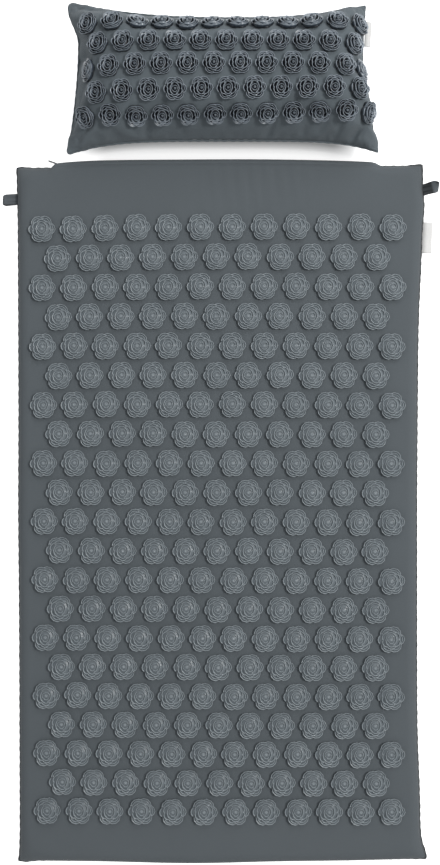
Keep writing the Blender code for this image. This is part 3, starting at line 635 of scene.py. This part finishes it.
thinned = np.ix_(*[np.append(np.arange(0, len(shares), FOAM_THINNING)[:-1], len(shares) - 1)
                   for shares in (along_shares, across_shares)])
foam_sheets = [shrunk(panel_points(share_x, share_y, upper), FOAM_MIDDLE, FOAM_SHARES)[thinned]
               for upper in (True, False)]
foam_finish = speckled("open_cell_foam", to_linear(190, 182, 160), to_linear(231, 226, 208), rough=0.95,
                       texture="TexVoronoi", bump=(0.6, 0.0004), Scale=900.0)
foam_points, foam_quads = closed_slab(*foam_sheets)
foam = surface("mat_foam_slab", foam_points, foam_finish, foam_quads)
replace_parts(foam, "mat_foam_core")
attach(foam, "mat")


# The rosettes: moulded plastic flowers of about 27 mm, bonded to the cover in staggered rows.
# Each has a flat lobed foot and rings of thin upright petals that lean outwards.
PETAL_STEPS = 4
FOOT_STEPS = 24
ROSE_RADIUS = 0.01375
ROSE_HEIGHT = 0.0052
# Each ring: petals, first turn in degrees, reach, rounding and wall in shares of the radius,
# half span in degrees, height and foot in shares of the height, lean as the foot's share, and
# how much painted highlight its rim gets
RINGS = [(1, 0, 0.985, 0.42, 0.080, 70, 0.68, 0.10, 0.84, 0.85),
         (1, 180, 0.940, 0.40, 0.110, 54, 0.68, 0.10, 0.88, 0.80),
         (2, 61, 0.980, 0.54, 0.085, 64, 0.72, 0.10, 0.86, 0.80),
         (1, 119, 0.975, 0.54, 0.085, 64, 0.72, 0.10, 0.86, 0.80),
         (1, 299, 0.975, 0.54, 0.085, 64, 0.70, 0.10, 0.86, 0.80),
         (3, 2, 0.835, 0.40, 0.068, 60, 0.80, 0.16, 0.84, 0.85),
         (1, 62, 0.835, 0.40, 0.068, 60, 0.80, 0.16, 0.84, 0.85),
         (1, 302, 0.835, 0.40, 0.068, 60, 0.80, 0.16, 0.84, 0.85),
         (6, 30, 0.690, 0.38, 0.070, 66, 0.93, 0.30, 0.84, 0.90),
         (2, 0, 0.405, 0.54, 0.070, 58, 1.00, 0.44, 0.86, 0.85),
         (2, 90, 0.530, 0.32, 0.070, 62, 0.97, 0.44, 0.86, 0.85),
         (3, 40, 0.285, 0.21, 0.066, 76, 0.98, 0.54, 0.84, 0.78),
         (1, 20, 0.120, 0.09, 0.070, 150, 0.94, 0.66, 0.90, 0.88)]
# The foot between the rings: terraces, by their radius and height shares, shallow or deep
SHALLOW_FOOT = [(0.95, 0), (0.96, 0.40), (0.84, 0.46), (0.82, 0.52), (0.70, 0.54), (0.68, 0.62),
                (0.52, 0.64), (0.50, 0.68), (0.29, 0.70), (0.27, 0.74), (0.13, 0.75), (0, 0.90)]
DEEP_FOOT = [(0.95, 0), (0.96, 0.18), (0.70, 0.20), (0.68, 0.30), (0.50, 0.31), (0.48, 0.40),
             (0.29, 0.41), (0.13, 0.45), (0, 0.85)]
# Painted light levels of the foot: low for painted shade between the petals, high for a painted highlight on
# the core
SHALLOW_FOOT_PAINTED_LIGHT, DEEP_FOOT_PAINTED_LIGHT, CORE_PAINTED_LIGHT = 0.18, 0.04, 0.9
PETAL_PROFILE = np.array([(0, 1), (0.72, 1), (1, 0.45), (1, -0.45), (0.72, -1), (0, -1)])


def petal_shell(turn, reach, rounding, wall, span, height, foot, lean):
    """One petal as a closed shell, in shares of the rosette's radius and height.

    Its wall follows an arc about a point part of the way out. From foot to rim the arc widens,
    so the petal leans out; its rim is highest in the middle, and one end is tucked inwards.
    """
    s = np.linspace(-1, 1, PETAL_STEPS + 1)[:, None]
    level, side = PETAL_PROFILE[:, 0][None], PETAL_PROFILE[:, 1][None]
    angle = turn + s * span
    radius = rounding * (lean + (1 - lean) * level ** 1.7) * (1 + 0.06 * s)
    radius = radius + side * wall * (1 - 0.35 * level) / 2
    centre = reach - rounding
    z = foot + (height - foot) * level * (1 - 0.34 * np.abs(s) ** 2.6)
    return stacked(centre * np.cos(turn) + radius * np.cos(angle),
                   centre * np.sin(turn) + radius * np.sin(angle), np.where(level == 0, 0.02, z))


def rosette_parts(terraces, foot_painted_light):
    """Points, faces and painted light levels of one rosette of unit radius and unit height on its foot."""
    points, faces, painted_light_levels = [], [], []
    count = 0
    stations, lines = PETAL_STEPS + 1, len(PETAL_PROFILE)
    first_end = np.array([[0, 1, 4, 5], [1, 2, 3, 4]])
    last_end = first_end[:, ::-1] + (stations - 1) * lines
    quads = np.concatenate([grid_quads(stations, lines, ring_columns=True), first_end, last_end])[:, ::-1]
    for petals, first, reach, rounding, wall, span, height, foot, lean, rim_painted_light in RINGS:
        for k in range(petals):
            turn = math.radians(first) + 2 * math.pi * k / petals
            shell = petal_shell(turn, reach, rounding, wall, math.radians(span), height, foot, lean)
            points.append(shell.reshape(-1, 3))
            faces.append(quads + count)
            # Painted highlight rising up each petal to its rim, painted shade at its foot
            painted_light_levels.append(np.tile(PETAL_PROFILE[:, 0] ** 1.5, stations) * rim_painted_light)
            count += stations * lines
    foot_turn = np.linspace(0, 2 * np.pi, FOOT_STEPS, endpoint=False)
    lobes = 1 - 0.15 * (0.5 - 0.5 * np.cos(6 * foot_turn)) ** 1.4
    for radius, height in [(0, 0)] + terraces:
        points.append(stacked(np.cos(foot_turn) * lobes * radius, np.sin(foot_turn) * lobes * radius, height))
    faces.append(grid_quads(len(terraces) + 1, FOOT_STEPS, ring_columns=True) + count)
    painted_light_levels.append(np.repeat([foot_painted_light] * len(terraces) + [CORE_PAINTED_LIGHT], FOOT_STEPS))
    return np.concatenate(points), np.concatenate(faces), np.concatenate(painted_light_levels)


shallow_rose = rosette_parts(SHALLOW_FOOT, SHALLOW_FOOT_PAINTED_LIGHT)
deep_rose = rosette_parts(DEEP_FOOT, DEEP_FOOT_PAINTED_LIGHT)


def moulded_plastic(name, shaded_crevice, face, rim, roughness, gloss):
    """Hard moulded plastic: its colour goes from painted shade in the crevices to a painted highlight on the
    thin rims.
    """
    made, tree, output = new_material(name)
    # The rim tag carries painted light: low for painted shade in the crevices, high for painted highlights on
    # the rims
    painted_light_tag = add_node(tree, "Attribute", attribute_name="rim")
    place = add_node(tree, "TexCoord").outputs["Object"]
    grain = add_node(tree, "TexNoise", {"Vector": place}, Scale=900.0, Detail=2.0)
    cloud = add_node(tree, "TexNoise", {"Vector": place}, Scale=22.0, Detail=2.0)
    level = sums("ADD", painted_light_tag.outputs["Fac"],
                 sums("MULTIPLY", sums("SUBTRACT", cloud.outputs[0], 0.5), 0.25))
    tint = add_node(tree, "ValToRGB", {0: level})
    tint.color_ramp.elements[0].color, tint.color_ramp.elements[1].color = shaded_crevice, rim
    tint.color_ramp.elements.new(0.45).color = face
    rough = sums("ADD", map_range(level, 0.2, 0.8, 0.70, roughness),
                 sums("MULTIPLY", sums("SUBTRACT", grain.outputs[0], 0.5), 0.15))
    bump = add_node(tree, "Bump", {"Height": grain.outputs[0]}, Strength=0.25, Distance=0.00006)
    shader = add_node(tree, "BsdfPrincipled", {
        "Base Color": tint.outputs[0], "Roughness": rough, "Normal": bump.outputs[0]},
        Coat_Weight=gloss, Coat_Roughness=0.16)
    tree.links.new(shader.outputs[0], output.inputs["Surface"])
    return made


# Crevice and rim colours are painted shade and painted highlights about the plastic's own face colour
mat_plastic = moulded_plastic("mat_rosette_plastic", to_linear(92, 100, 105), to_linear(110, 118, 123),
                              to_linear(144, 152, 157), roughness=0.30, gloss=0.15)


def turned(angle):
    """The matrix that turns rows of points about the upright axis."""
    cos, sin = math.cos(angle), math.sin(angle)
    return np.array([[cos, sin, 0], [-sin, cos, 0], [0, 0, 1]])


def rosette_row(name, rose, finish, places, radius, height):
    """A row of rosettes as one piece: each copy is turned, scaled and set on its place.

    A place is an origin, three axes (along the row, across it and away from the cloth) and a turn.
    """
    rose_points, rose_faces, rose_painted_light = rose
    copies = [(rose_points @ turned(turn)) * (radius, radius, height) @ axes + origin
              for origin, axes, turn in places]
    faces = np.concatenate([rose_faces + k * len(rose_points) for k in range(len(copies))])
    made = surface(name, np.concatenate(copies), finish, faces)
    # The rim tag is painted light: painted shade in the crevices, painted highlights on the rims
    tag_points(made, "rim", np.tile(rose_painted_light, len(copies)))
    return made


MAT_ROW_COUNT = 21
LONG_ROW = 12                             # rosettes in a long row; the rows between have one less
ROW_ONE_Y, ROW_STEP = 0.2796, 0.02889
ROW_ONE_MIDDLE, LAST_ROW_MIDDLE = -0.0017, 0.0003
ROW_ONE_PITCH, LAST_ROW_PITCH = 0.03172, 0.03111
PLACE_SCATTER, LEAN_SCATTER, TURN_SCATTER = 0.00022, 0.012, 0.025
SEAT_GAP = 0.0001
spins = np.random.default_rng(21)


def drift(across, down):
    """How far the cloth has drawn a rosette off the even grid, to the right and to the head.

    Both shares run from -1 to 1, from the left to the right and from the first row to the last.
    The middle rows lie a little too far to the left and to the foot, most of all on the right.
    """
    right = (-1.97 - 0.86 * across + 0.82 * down - 0.10 * across * down + 0.55 * across ** 2
             + 0.96 * down ** 2 - 0.87 * across ** 2 * down + 0.33 * across * down ** 2)
    head = (-1.32 - 0.68 * across - 0.73 * down - 0.83 * across * down - 0.35 * across ** 2
            + 2.38 * down ** 2 + 1.14 * across ** 2 * down + 0.86 * across * down ** 2)
    return right / 1000, head / 1000


for row in range(MAT_ROW_COUNT):
    down = row / (MAT_ROW_COUNT - 1)
    count = LONG_ROW - row % 2
    pitch = ROW_ONE_PITCH + (LAST_ROW_PITCH - ROW_ONE_PITCH) * down
    middle = ROW_ONE_MIDDLE + (LAST_ROW_MIDDLE - ROW_ONE_MIDDLE) * down
    places = []
    for k in range(count):
        off = k - (count - 1) / 2
        off_x, off_y = drift(off / ((LONG_ROW - 1) / 2), 2 * down - 1)
        x = middle + off * pitch + off_x + spins.normal(0, PLACE_SCATTER)
        y = ROW_ONE_Y - row * ROW_STEP + off_y + spins.normal(0, PLACE_SCATTER)
        up = np.array([*spins.normal(0, LEAN_SCATTER, 2), 1.0])
        up /= np.linalg.norm(up)
        run = np.cross((0, 1, 0), up)
        places.append((np.array([x, y, TOP_Z + WAVINESS * ripple(x, y) + SEAT_GAP]),
                       np.stack([run, np.cross(up, run), up]), spins.normal(0, TURN_SCATTER)))
    name = "mat_rosettes_%02d" % (row + 1)
    made = rosette_row(name, shallow_rose, mat_plastic, places, ROSE_RADIUS, ROSE_HEIGHT)
    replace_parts(made, "mat_disc_row_%02d" % (row + 1))
    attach(made, "mat")


# The zip in the head edge, under the fold: two woven tapes sewn behind the opening, the closed
# nylon chain between them, metal stops, and a slider with its flat pull tab.
TAPE_STEPS = 60
TOOTH_PITCH = 0.0016
TOOTH_STEPS, COIL_SIDES = 6, 12
NYLON_COLOUR = to_linear(52, 56, 60)
tape_finish = cotton("zip_tape_weave", to_linear(60, 64, 68), thread=0.0005)


def tape(name, node):
    """A thin woven band as tall as the CAD tape, with a rounded selvedge along both edges."""
    low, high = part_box(node)
    half, middle = (high.y - low.y) / 2, (high.y + low.y) / 2
    z = np.array([low.z, low.z + half, high.z - half, high.z, high.z - half, low.z + half])
    y = np.array([0, half, half, 0, -half, -half]) + middle
    rings = stacked(np.linspace(low.x, high.x, TAPE_STEPS)[:, None], y, z)
    rings[0, :, 1] = rings[-1, :, 1] = middle
    made = tube(name, rings, tape_finish)
    lay_uv(made, rings[..., 0], rings[..., 2])
    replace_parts(made, node)
    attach(made, "mat")


tape("zip_tape_over", "mat_zip_tape_upper")
tape("zip_tape_under", "mat_zip_tape_lower")


def coil_rings(low, high):
    """The closed chain: an oval bar whose outline swells once a tooth, half a tooth later below."""
    x = np.arange(low.x, high.x, TOOTH_PITCH / TOOTH_STEPS)[:, None]
    turn = np.linspace(0, 2 * np.pi, COIL_SIDES, endpoint=False)
    bulge = 0.80 + 0.20 * np.cos(x * 2 * np.pi / TOOTH_PITCH + np.where(np.sin(turn) > 0, 0, np.pi))
    rings = stacked(x, between(low.y, high.y, np.cos(turn) * bulge),
                    between(low.z, high.z, np.sin(turn) * (0.84 + 0.16 * bulge)))
    close_ends(rings)
    return rings


nylon_tints = [(*[c * share for c in NYLON_COLOUR[:3]], 1) for share in (0.75, 1.25)]
nylon = speckled("zip_nylon", *nylon_tints, rough=0.35, rough_gain=0.15, Scale=700.0, Detail=3.0)
coil = tube("zip_coil", coil_rings(*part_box("mat_zip_chain")), nylon)
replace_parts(coil, "mat_zip_chain")
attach(coil, "mat")

dark_metal = speckled("zip_dark_metal", to_linear(44, 47, 50), to_linear(84, 88, 92), rough=0.28,
                      stretch=(60, 900, 900), rough_gain=0.2, metallic=0.9, Scale=1.0, Detail=3.0)
for node in ("mat_zip_stop_left", "mat_zip_stop_right", "mat_zip_slider", "mat_zip_pull"):
    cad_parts[node].data.materials.clear()
    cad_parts[node].data.materials.append(dark_metal)


# The two hanging loops: a doubled length of dark ribbed webbing, its ends caught in the side
# seam. The right one stands a little askew, towards the head. The mat's right edge lies outside
# the places where its loop and label bend, so these two are held still at the edge.
WEBBING_WIDTH, WEBBING_THICKNESS = 0.0110, 0.0013
WEBBING_STEP = 0.0007
RIBS = 5
LOOP_REACH = 0.0160                       # what the shares of a loop's length are measured by
TWIST_FROM, TWIST_LENGTH = 0.2045, 0.0140
# Each loop: its side, CAD node and body, its root and length in X, its skew and its turn
LOOPS = [(-1, "mat_loop_left", "loop_left", 0.2010, 0.0160, -0.08, -0.15),
         (1, "mat_loop_right", "loop_right", 0.2026, 0.0164, 0.34, 0.85)]


def webbing_profile():
    """The webbing's section: a flat band with a few shallow ribs on both faces."""
    along = np.linspace(-1, 1, 25)
    face = 1 - 0.30 * (0.5 + 0.5 * np.cos(along * np.pi * RIBS)) - 0.5 * np.abs(along) ** 14
    upper = np.stack([along * WEBBING_WIDTH / 2, face * WEBBING_THICKNESS / 2], -1)
    return np.concatenate([upper, (upper * (1, -1))[::-1][1:-1]])


def loop_path(side, y, root, length, skew):
    """The folded band from above: out along the top, round the fold, and back underneath.

    It leaves the seam almost closed and opens to a small eye at the fold. Skew moves the fold
    towards the head or the foot.
    """
    t = np.linspace(0, 1, 42)
    reach = np.sin(np.pi * t) ** 0.72
    lift = np.cos(np.pi * t) * (0.0008 + 0.0030 * np.sin(np.pi * t) ** 1.3)
    return stacked(side * (root + length * reach), y + skew * length * reach, SEAM_Z + lift)


def twist(rings, side, y, turn):
    """Turns the band about its own length, not at its root and by the whole turn at its fold."""
    share = ramp(side * rings[..., 0], TWIST_FROM, TWIST_LENGTH) * turn
    off_y, off_z = rings[..., 1] - y, rings[..., 2] - SEAM_Z
    return stacked(rings[..., 0], y + off_y * np.cos(share) - off_z * np.sin(share),
                   SEAM_Z + off_y * np.sin(share) + off_z * np.cos(share))


def webbing_painted_shading(across, fold, side):
    """How much painted shade the band gets: at its edges, along its ribs and at the fold's end, with a
    painted highlight just before the fold.

    The right loop gets painted shade up to its fold, and a painted highlight on the fold.
    """
    painted_shade_share = (0.42 * across ** 6 + 0.36 * hump(across, 0.40, 0.14) * (1 - fold) + 0.45 * ramp(fold, 0.93, 0.07)
            - 0.12 * hump(fold, 0.84, 0.07))
    return painted_shade_share + (0.92 * ramp(-fold, -0.72, 0.10) - 0.36 if side > 0 else 0.02)


webbing_finish = cotton("webbing_weave", to_linear(88, 93, 97), thread=0.0009, relief=0.00025, sheen=0.05)
for side, node, body, root, length, skew, turn in LOOPS:
    low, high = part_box(node)
    middle_y = (low.y + high.y) / 2
    line = even_steps(loop_path(side, middle_y, root, length, skew), WEBBING_STEP, False)
    section = webbing_profile()
    fold = np.abs(line[:, 0] - line[0, 0])[:, None] / LOOP_REACH
    narrow = np.stack([np.ones_like(fold), 1 - 0.16 * ramp(fold, 0.82, 0.18) ** 2], -1)
    rings = twist(sweep(line, section[:, ::-1] * narrow, False, up=(0, 1, 0)), side, middle_y, turn)
    close_ends(rings)
    made = tube("webbing_" + body, rings, webbing_finish)
    gone = np.arange(len(line)) * WEBBING_STEP
    lay_uv(made, np.repeat(gone, len(section)), np.tile(section[:, 0], len(line)))
    # The webbing carries painted shade and painted highlights
    tag_points(made, "painted_shading", webbing_painted_shading(np.abs(section[:, 0]) / WEBBING_WIDTH * 2, fold, side))
    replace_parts(made, node)
    if side > 0:
        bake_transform(made)
    else:
        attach(made, body)


# The labels: a short length of satin ribbon, folded in half with its ends in the seam, bare.
MAT_LABEL_Y = 0.2734
MAT_LABEL_ROOT, MAT_LABEL_HELD, MAT_LABEL_FREE = 0.2035, 0.2050, 0.2092
RIBBON_LINES, RIBBON_STEPS = 25, 21
RIBBON_WAVE, RIBBON_WAVE_TURNS = 0.0002, 220
label_finish = cotton("label_satin_weave", to_linear(228, 227, 225), thread=0.00035, relief=0.00004,
                      sheen=0.2)


def label(name, node, origin, lean, reach, length, thickness):
    """A folded ribbon seated at its root in the seam and turned about the upright axis.

    The outline runs out over the top, round the fold and back below, swollen a little at the fold.
    """
    y = np.linspace(-length / 2, length / 2, RIBBON_LINES)[[0, *range(RIBBON_LINES), -1]][:, None]
    t = np.linspace(0, 1, RIBBON_STEPS)
    x = reach * np.sin(np.pi * t) ** 0.35 - 0.0003
    z = np.cos(np.pi * t) * thickness * (0.42 + 0.5 * np.sin(np.pi * t) ** 4)
    flat = stacked(x, y, z + RIBBON_WAVE * np.sin(y * RIBBON_WAVE_TURNS) * x / reach)
    rings = flat @ turned(lean) + np.array(origin)
    close_ends(rings)
    made = tube(name, rings, label_finish)
    lay_uv(made, flat[..., 0] + (flat[..., 2] < 0) * 0.05, flat[..., 1])
    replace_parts(made, node)
    return made


mat_tag = label("mat_side_label", "mat_label", (MAT_LABEL_ROOT, MAT_LABEL_Y, SEAM_Z), lean=-0.03,
                reach=0.0101, length=0.0312, thickness=0.0009)
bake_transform(mat_tag)


# The pillow: a small cushion of the same cotton, tightly filled, sewn inside out and turned. It
# bulges over its seam, its four sides pull in, and its corners end in points.
PILLOW_SEAM_Z = 0.030
CROWN, BELLY = 0.0410, 0.037
CREST_SHIFT = 0.08                        # the crest lies this share towards the foot side
CORNER_REACH = 0.0055                     # how far the two left corners are rounded off
PILLOW_COLUMNS, PILLOW_LINES = 132, 46
COLUMN_CLOSING, LINE_CLOSING = 0.93, 0.90    # how much closer the lines lie towards the seam
CLOTH_FRAMES = 20
SWELL_CAP = 0.0028
FILL_MIDDLE = np.array([0, 0.4255, 0.034])
FILL_SHARES = np.array([0.95, 0.90, 0.80])    # of the cushion's own size
# Creases in the cloth: both ends, width and depth
CREASES = [((0.1265, 0.3610), (0.1420, 0.3790), 0.0030, 0.0068),
           ((0.1120, 0.3650), (0.1190, 0.3800), 0.0030, 0.0055),
           ((0.0440, 0.3650), (0.0540, 0.3830), 0.0032, 0.0060),
           ((0.0800, 0.3650), (0.0840, 0.3760), 0.0032, 0.0040),
           ((-0.0735, 0.3650), (-0.0675, 0.3790), 0.0032, 0.0055),
           ((-0.0380, 0.3650), (-0.0350, 0.3750), 0.0032, 0.0040),
           ((-0.1410, 0.4450), (-0.1210, 0.4410), 0.0026, 0.0070),
           ((-0.1400, 0.4640), (-0.1250, 0.4600), 0.0026, 0.0045),
           ((-0.1400, 0.3640), (-0.1210, 0.3790), 0.0030, 0.0050),
           ((-0.1410, 0.4940), (-0.1120, 0.4880), 0.0026, 0.0045)]


def pillow_left(along):
    """X of the left seam: narrowest in the head half, and wider to both corners."""
    head, foot = ramp(along, 0.46, 0.46), ramp(-along, -0.42, 1.42)
    return -(0.1387 + 0.0102 * head ** 2 * (3 - 2 * head) + 0.0108 * foot ** 1.7
             + 0.0012 * step_up(-along, 0.765, 0.012))


def pillow_right(along):
    """X of the right seam: narrowest at mid depth, then out at a slant to a flared foot corner."""
    slant = (1 - np.exp(np.clip(along, None, 0) / 0.28)) / (1 - math.exp(-1 / 0.28))
    return (0.1408 + 0.0030 * ramp(along, 0.25, 0.75) ** 1.5 + 0.0105 * slant
            + 0.0046 * step_up(-along, 0.76, 0.03))


def pillow_head(across):
    """Y of the head seam: pulled in to the right of the middle."""
    off = across - 0.11
    return 0.4871 + np.where(off < 0, 0.0152 * ramp(-off, 0, 1.11) ** 2.5, 0.0118 * ramp(off, 0, 0.89) ** 2.5)


def pillow_foot(across):
    """Y of the foot seam: nearly straight, falling away to the corners, sharper on the right."""
    return 0.3660 - np.where(across < 0, 0.0140 * np.abs(across) ** 4, 0.0113 * np.abs(across) ** 5)


def blunt(x, y, side, end, way):
    """Rounds a left corner off: the square of the corner's reach becomes a quarter of a disc."""
    a = np.clip(1 - (x - side) / CORNER_REACH, 0, 1)
    b = np.clip(1 - way * (y - end) / CORNER_REACH, 0, 1)
    return (x + CORNER_REACH * a * (1 - np.sqrt(1 - b ** 2 / 2)),
            y + way * CORNER_REACH * b * (1 - np.sqrt(1 - a ** 2 / 2)))


def pillow_points(across, along, upper):
    """Points of the cushion from the shares of its half width and half depth.

    The height is the product of two rounded profiles; the right end is fuller than the left.
    """
    left, head, foot = pillow_left(along), pillow_head(across), pillow_foot(across)
    x, y = between(left, pillow_right(along), across), between(foot, head, along)
    x, y = blunt(x, y, left, foot, 1)
    x, y = blunt(x, y, left, head, -1)
    power = np.where(across > 0, 9.0, 5.6)
    leaned = along + CREST_SHIFT * (1 - along ** 2)
    rise = ((1 - np.abs(across) ** power).clip(0) * (1 - np.abs(leaned) ** 2.7).clip(0)) ** 0.53
    return stacked(x, y, np.maximum(PILLOW_SEAM_Z + (CROWN if upper else -BELLY) * rise, 0.0))


def closing_shares(count, closing):
    """Shares from -1 to 1 that lie closer together towards both ends."""
    bend = np.pi / 2 * closing
    return np.sin(np.linspace(-1, 1, count) * bend) / math.sin(bend)


def cushion_mesh():
    """Both faces of the cushion, sharing the points of their seam, as points and faces.

    The last two values are the numbers of the upper and of the lower face's points, as grids.
    """
    across, along = np.meshgrid(closing_shares(PILLOW_COLUMNS, COLUMN_CLOSING),
                                closing_shares(PILLOW_LINES, LINE_CLOSING))
    upper, lower = pillow_points(across, along, True), pillow_points(across, along, False)
    quads = grid_quads(*across.shape)
    index = np.arange(across.size).reshape(across.shape)
    inner = np.zeros(across.shape, bool)
    inner[1:-1, 1:-1] = True
    low_index = index.copy()
    low_index[inner] = across.size + np.arange(inner.sum())
    return (np.concatenate([upper.reshape(-1, 3), lower[inner]]),
            np.concatenate([quads, low_index.ravel()[quads][:, ::-1]]), index, low_index)


cushion_points, cushion_quads, top_index, low_index = cushion_mesh()
seam_cycle = rim_cycle(top_index)


def blow_up(points, quads):
    """The cushion's points after a short cloth simulation with air pressure inside.

    The seam is held, and the cloth starts a little too large, so that it gathers along the seam.
    """
    trial = surface("cushion_trial", points, mat_cotton, quads)
    held = trial.vertex_groups.new(name="held_seam")
    held.add(seam_cycle.tolist(), 1.0, "REPLACE")
    cloth = trial.modifiers.new("cloth", "CLOTH")
    for key, value in dict(
            quality=6, mass=0.15, tension_stiffness=22, compression_stiffness=12, shear_stiffness=8,
            bending_stiffness=0.35, vertex_group_mass=held.name, use_pressure=True,
            uniform_pressure_force=4.0, shrink_min=-0.035).items():
        setattr(cloth.settings, key, value)
    cloth.settings.effector_weights.gravity = 0
    cloth.collision_settings.use_collision = False
    cloth.point_cache.frame_start, cloth.point_cache.frame_end = 1, CLOTH_FRAMES
    for step in range(1, CLOTH_FRAMES + 1):
        bpy.context.scene.frame_set(step)
    graph = bpy.context.evaluated_depsgraph_get()
    blown = np.zeros(len(points) * 3, np.float32)
    trial.evaluated_get(graph).data.vertices.foreach_get("co", blown)
    bpy.context.scene.frame_set(1)
    bpy.data.objects.remove(trial)
    move = blown.reshape(-1, 3) - points
    far = np.linalg.norm(move, axis=1, keepdims=True)
    return points + move * np.minimum(1, SWELL_CAP / np.maximum(far, 1e-9))


cushion_points = blow_up(cushion_points, cushion_quads)


def crease(points, start, end, width, depth):
    """Sinks the cloth along a line on the ground plan, deepest in the middle of the line."""
    start, end = np.array(start), np.array(end)
    run = end - start
    share = np.clip(((points[:, :2] - start) @ run) / (run @ run), 0, 1)
    off = np.linalg.norm(points[:, :2] - (start + share[:, None] * run), axis=1)
    fade = np.sin(np.pi * share) ** 0.6
    points[:, 2] -= depth * fade * hump(off, 0, width) * (points[:, 2] > PILLOW_SEAM_Z + 0.001)


for line in CREASES:
    crease(cushion_points, *line)
cushion_points[:, 2] = np.maximum(cushion_points[:, 2], 0.0)

# The mat's cotton made paler: painted light on the pillow
pillow_cotton = cotton("pillow_cotton_weave", to_linear(95, 103, 108))
pillow = surface("pillow_cover", cushion_points, pillow_cotton, cushion_quads)
top_face = cushion_points[top_index]
pillow_lengths = np.zeros((2, len(cushion_points)))
for face, index in ((cushion_points[low_index], low_index), (top_face, top_index)):
    pillow_lengths[:, index.ravel()] = [lengths.ravel() for lengths in cloth_lengths(face)]
lay_uv(pillow, *pillow_lengths)
finer = pillow.modifiers.new("finer", "SUBSURF")
finer.levels = finer.render_levels = 1
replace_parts(pillow, "pillow_top_panel", "pillow_bottom_panel")
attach(pillow, "pillow")

fill_finish = speckled("fibre_filling", to_linear(205, 203, 196), to_linear(240, 239, 234), rough=0.95,
                       bump=(0.5, 0.001), Scale=260.0, Detail=6.0, Roughness=0.7)
filling = surface("pillow_filling", shrunk(cushion_points, FILL_MIDDLE, FILL_SHARES), fill_finish,
                  cushion_quads)
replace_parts(filling, "pillow_fill")
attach(filling, "pillow")

# The pillow's seam: the same turned edge as on the mat, all the way round
PILLOW_SEAM_RADIUS = 0.0010
pillow_edge = even_steps(cushion_points[seam_cycle], SEAM_STEP, True)
edge_swell = 1 + 0.14 * np.sin(np.arange(len(pillow_edge)) * SEAM_STEP * 2 * np.pi / PUCKER)
pillow_seam = seam_bead("pillow_seam", pillow_edge, PILLOW_SEAM_RADIUS, edge_swell, pillow_cotton)
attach(pillow_seam, "pillow")


# The pillow's rosettes: the same flower at about four fifths of the size, in glossier plastic
# made darker as painted shade, bonded in five staggered rows that follow the cushion over its edges.
SMALL_RADIUS, SMALL_HEIGHT = 0.0113, 0.0063
# Each row: its place towards the head, how far that rises to the right and at both ends, its
# middle, and the distance between rosettes along the cloth
PILLOW_ROWS = [(0.4711, 0.0000, 0.0006, 0.0051, 0.0243), (0.4499, 0.0000, -0.0002, 0.0063, 0.0246),
               (0.4283, 0.0008, -0.0012, 0.0070, 0.0250), (0.4052, 0.0022, -0.0006, 0.0080, 0.0252),
               (0.3851, 0.0025, -0.0004, 0.0082, 0.0253)]
ROW_REACH = 0.135
ROW_FEEL, LINE_FEEL = 0.006, 2            # how far a seat feels for the slope: metres, and grid lines
# A darker copy of the mat's plastic as painted shade, with deeper painted shade in the crevices and brighter
# painted highlights on the rims
small_plastic = moulded_plastic("pillow_rosette_plastic", to_linear(10, 15, 24), to_linear(56, 66, 77),
                                to_linear(158, 168, 177), roughness=0.22, gloss=0.5)


def row_line(place, rise, bend):
    """Points of the cushion under a row, from left to right, and the way to the head at each."""
    steps = np.arange(top_face.shape[0])
    line, upward = [], []
    for down in top_face.transpose(1, 0, 2):
        share = down[:, 0].mean() / ROW_REACH
        at = np.interp(place + rise * share + bend * share ** 2, down[:, 1], steps)
        point, foot_end, head_end = at_lengths(down, steps, at + np.array([0, -LINE_FEEL, LINE_FEEL]))
        line.append(point)
        upward.append(head_end - foot_end)
    return np.array(line), np.array(upward)


def seats(place, rise, bend, middle, pitch, count):
    """Places of a row's rosettes: even lengths along the cloth, each seat square to the cloth."""
    line, upward = row_line(place, rise, bend)
    gone = lengths_along(line)
    start = np.interp(middle, line[:, 0], gone)
    found = []
    for k in range(count):
        want = start + (k - (count - 1) / 2) * pitch
        origin, ahead, behind = at_lengths(line, gone, want + np.array([0, ROW_FEEL, -ROW_FEEL]))
        run = (ahead - behind) / np.linalg.norm(ahead - behind)
        up = np.cross(run, at_lengths(upward, gone, want))
        up /= np.linalg.norm(up)
        found.append((origin + up * SEAT_GAP, np.stack([run, np.cross(up, run), up])))
    return found


for row, laid in enumerate(PILLOW_ROWS):
    places = [(*place, spins.normal(0, TURN_SCATTER)) for place in seats(*laid, LONG_ROW - row % 2)]
    name = "pillow_rosettes_%d" % (row + 1)
    made = rosette_row(name, deep_rose, small_plastic, places, SMALL_RADIUS, SMALL_HEIGHT)
    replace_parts(made, "pillow_disc_row_%d" % (row + 1))
    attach(made, "pillow")

PILLOW_LABEL_PLACE = (0.1437, 0.4711, PILLOW_SEAM_Z)
pillow_tag = label("pillow_side_label", "pillow_label", PILLOW_LABEL_PLACE, lean=-0.06,
                   reach=0.0064, length=0.0245, thickness=0.0008)
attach(pillow_tag, "pillow_tag")
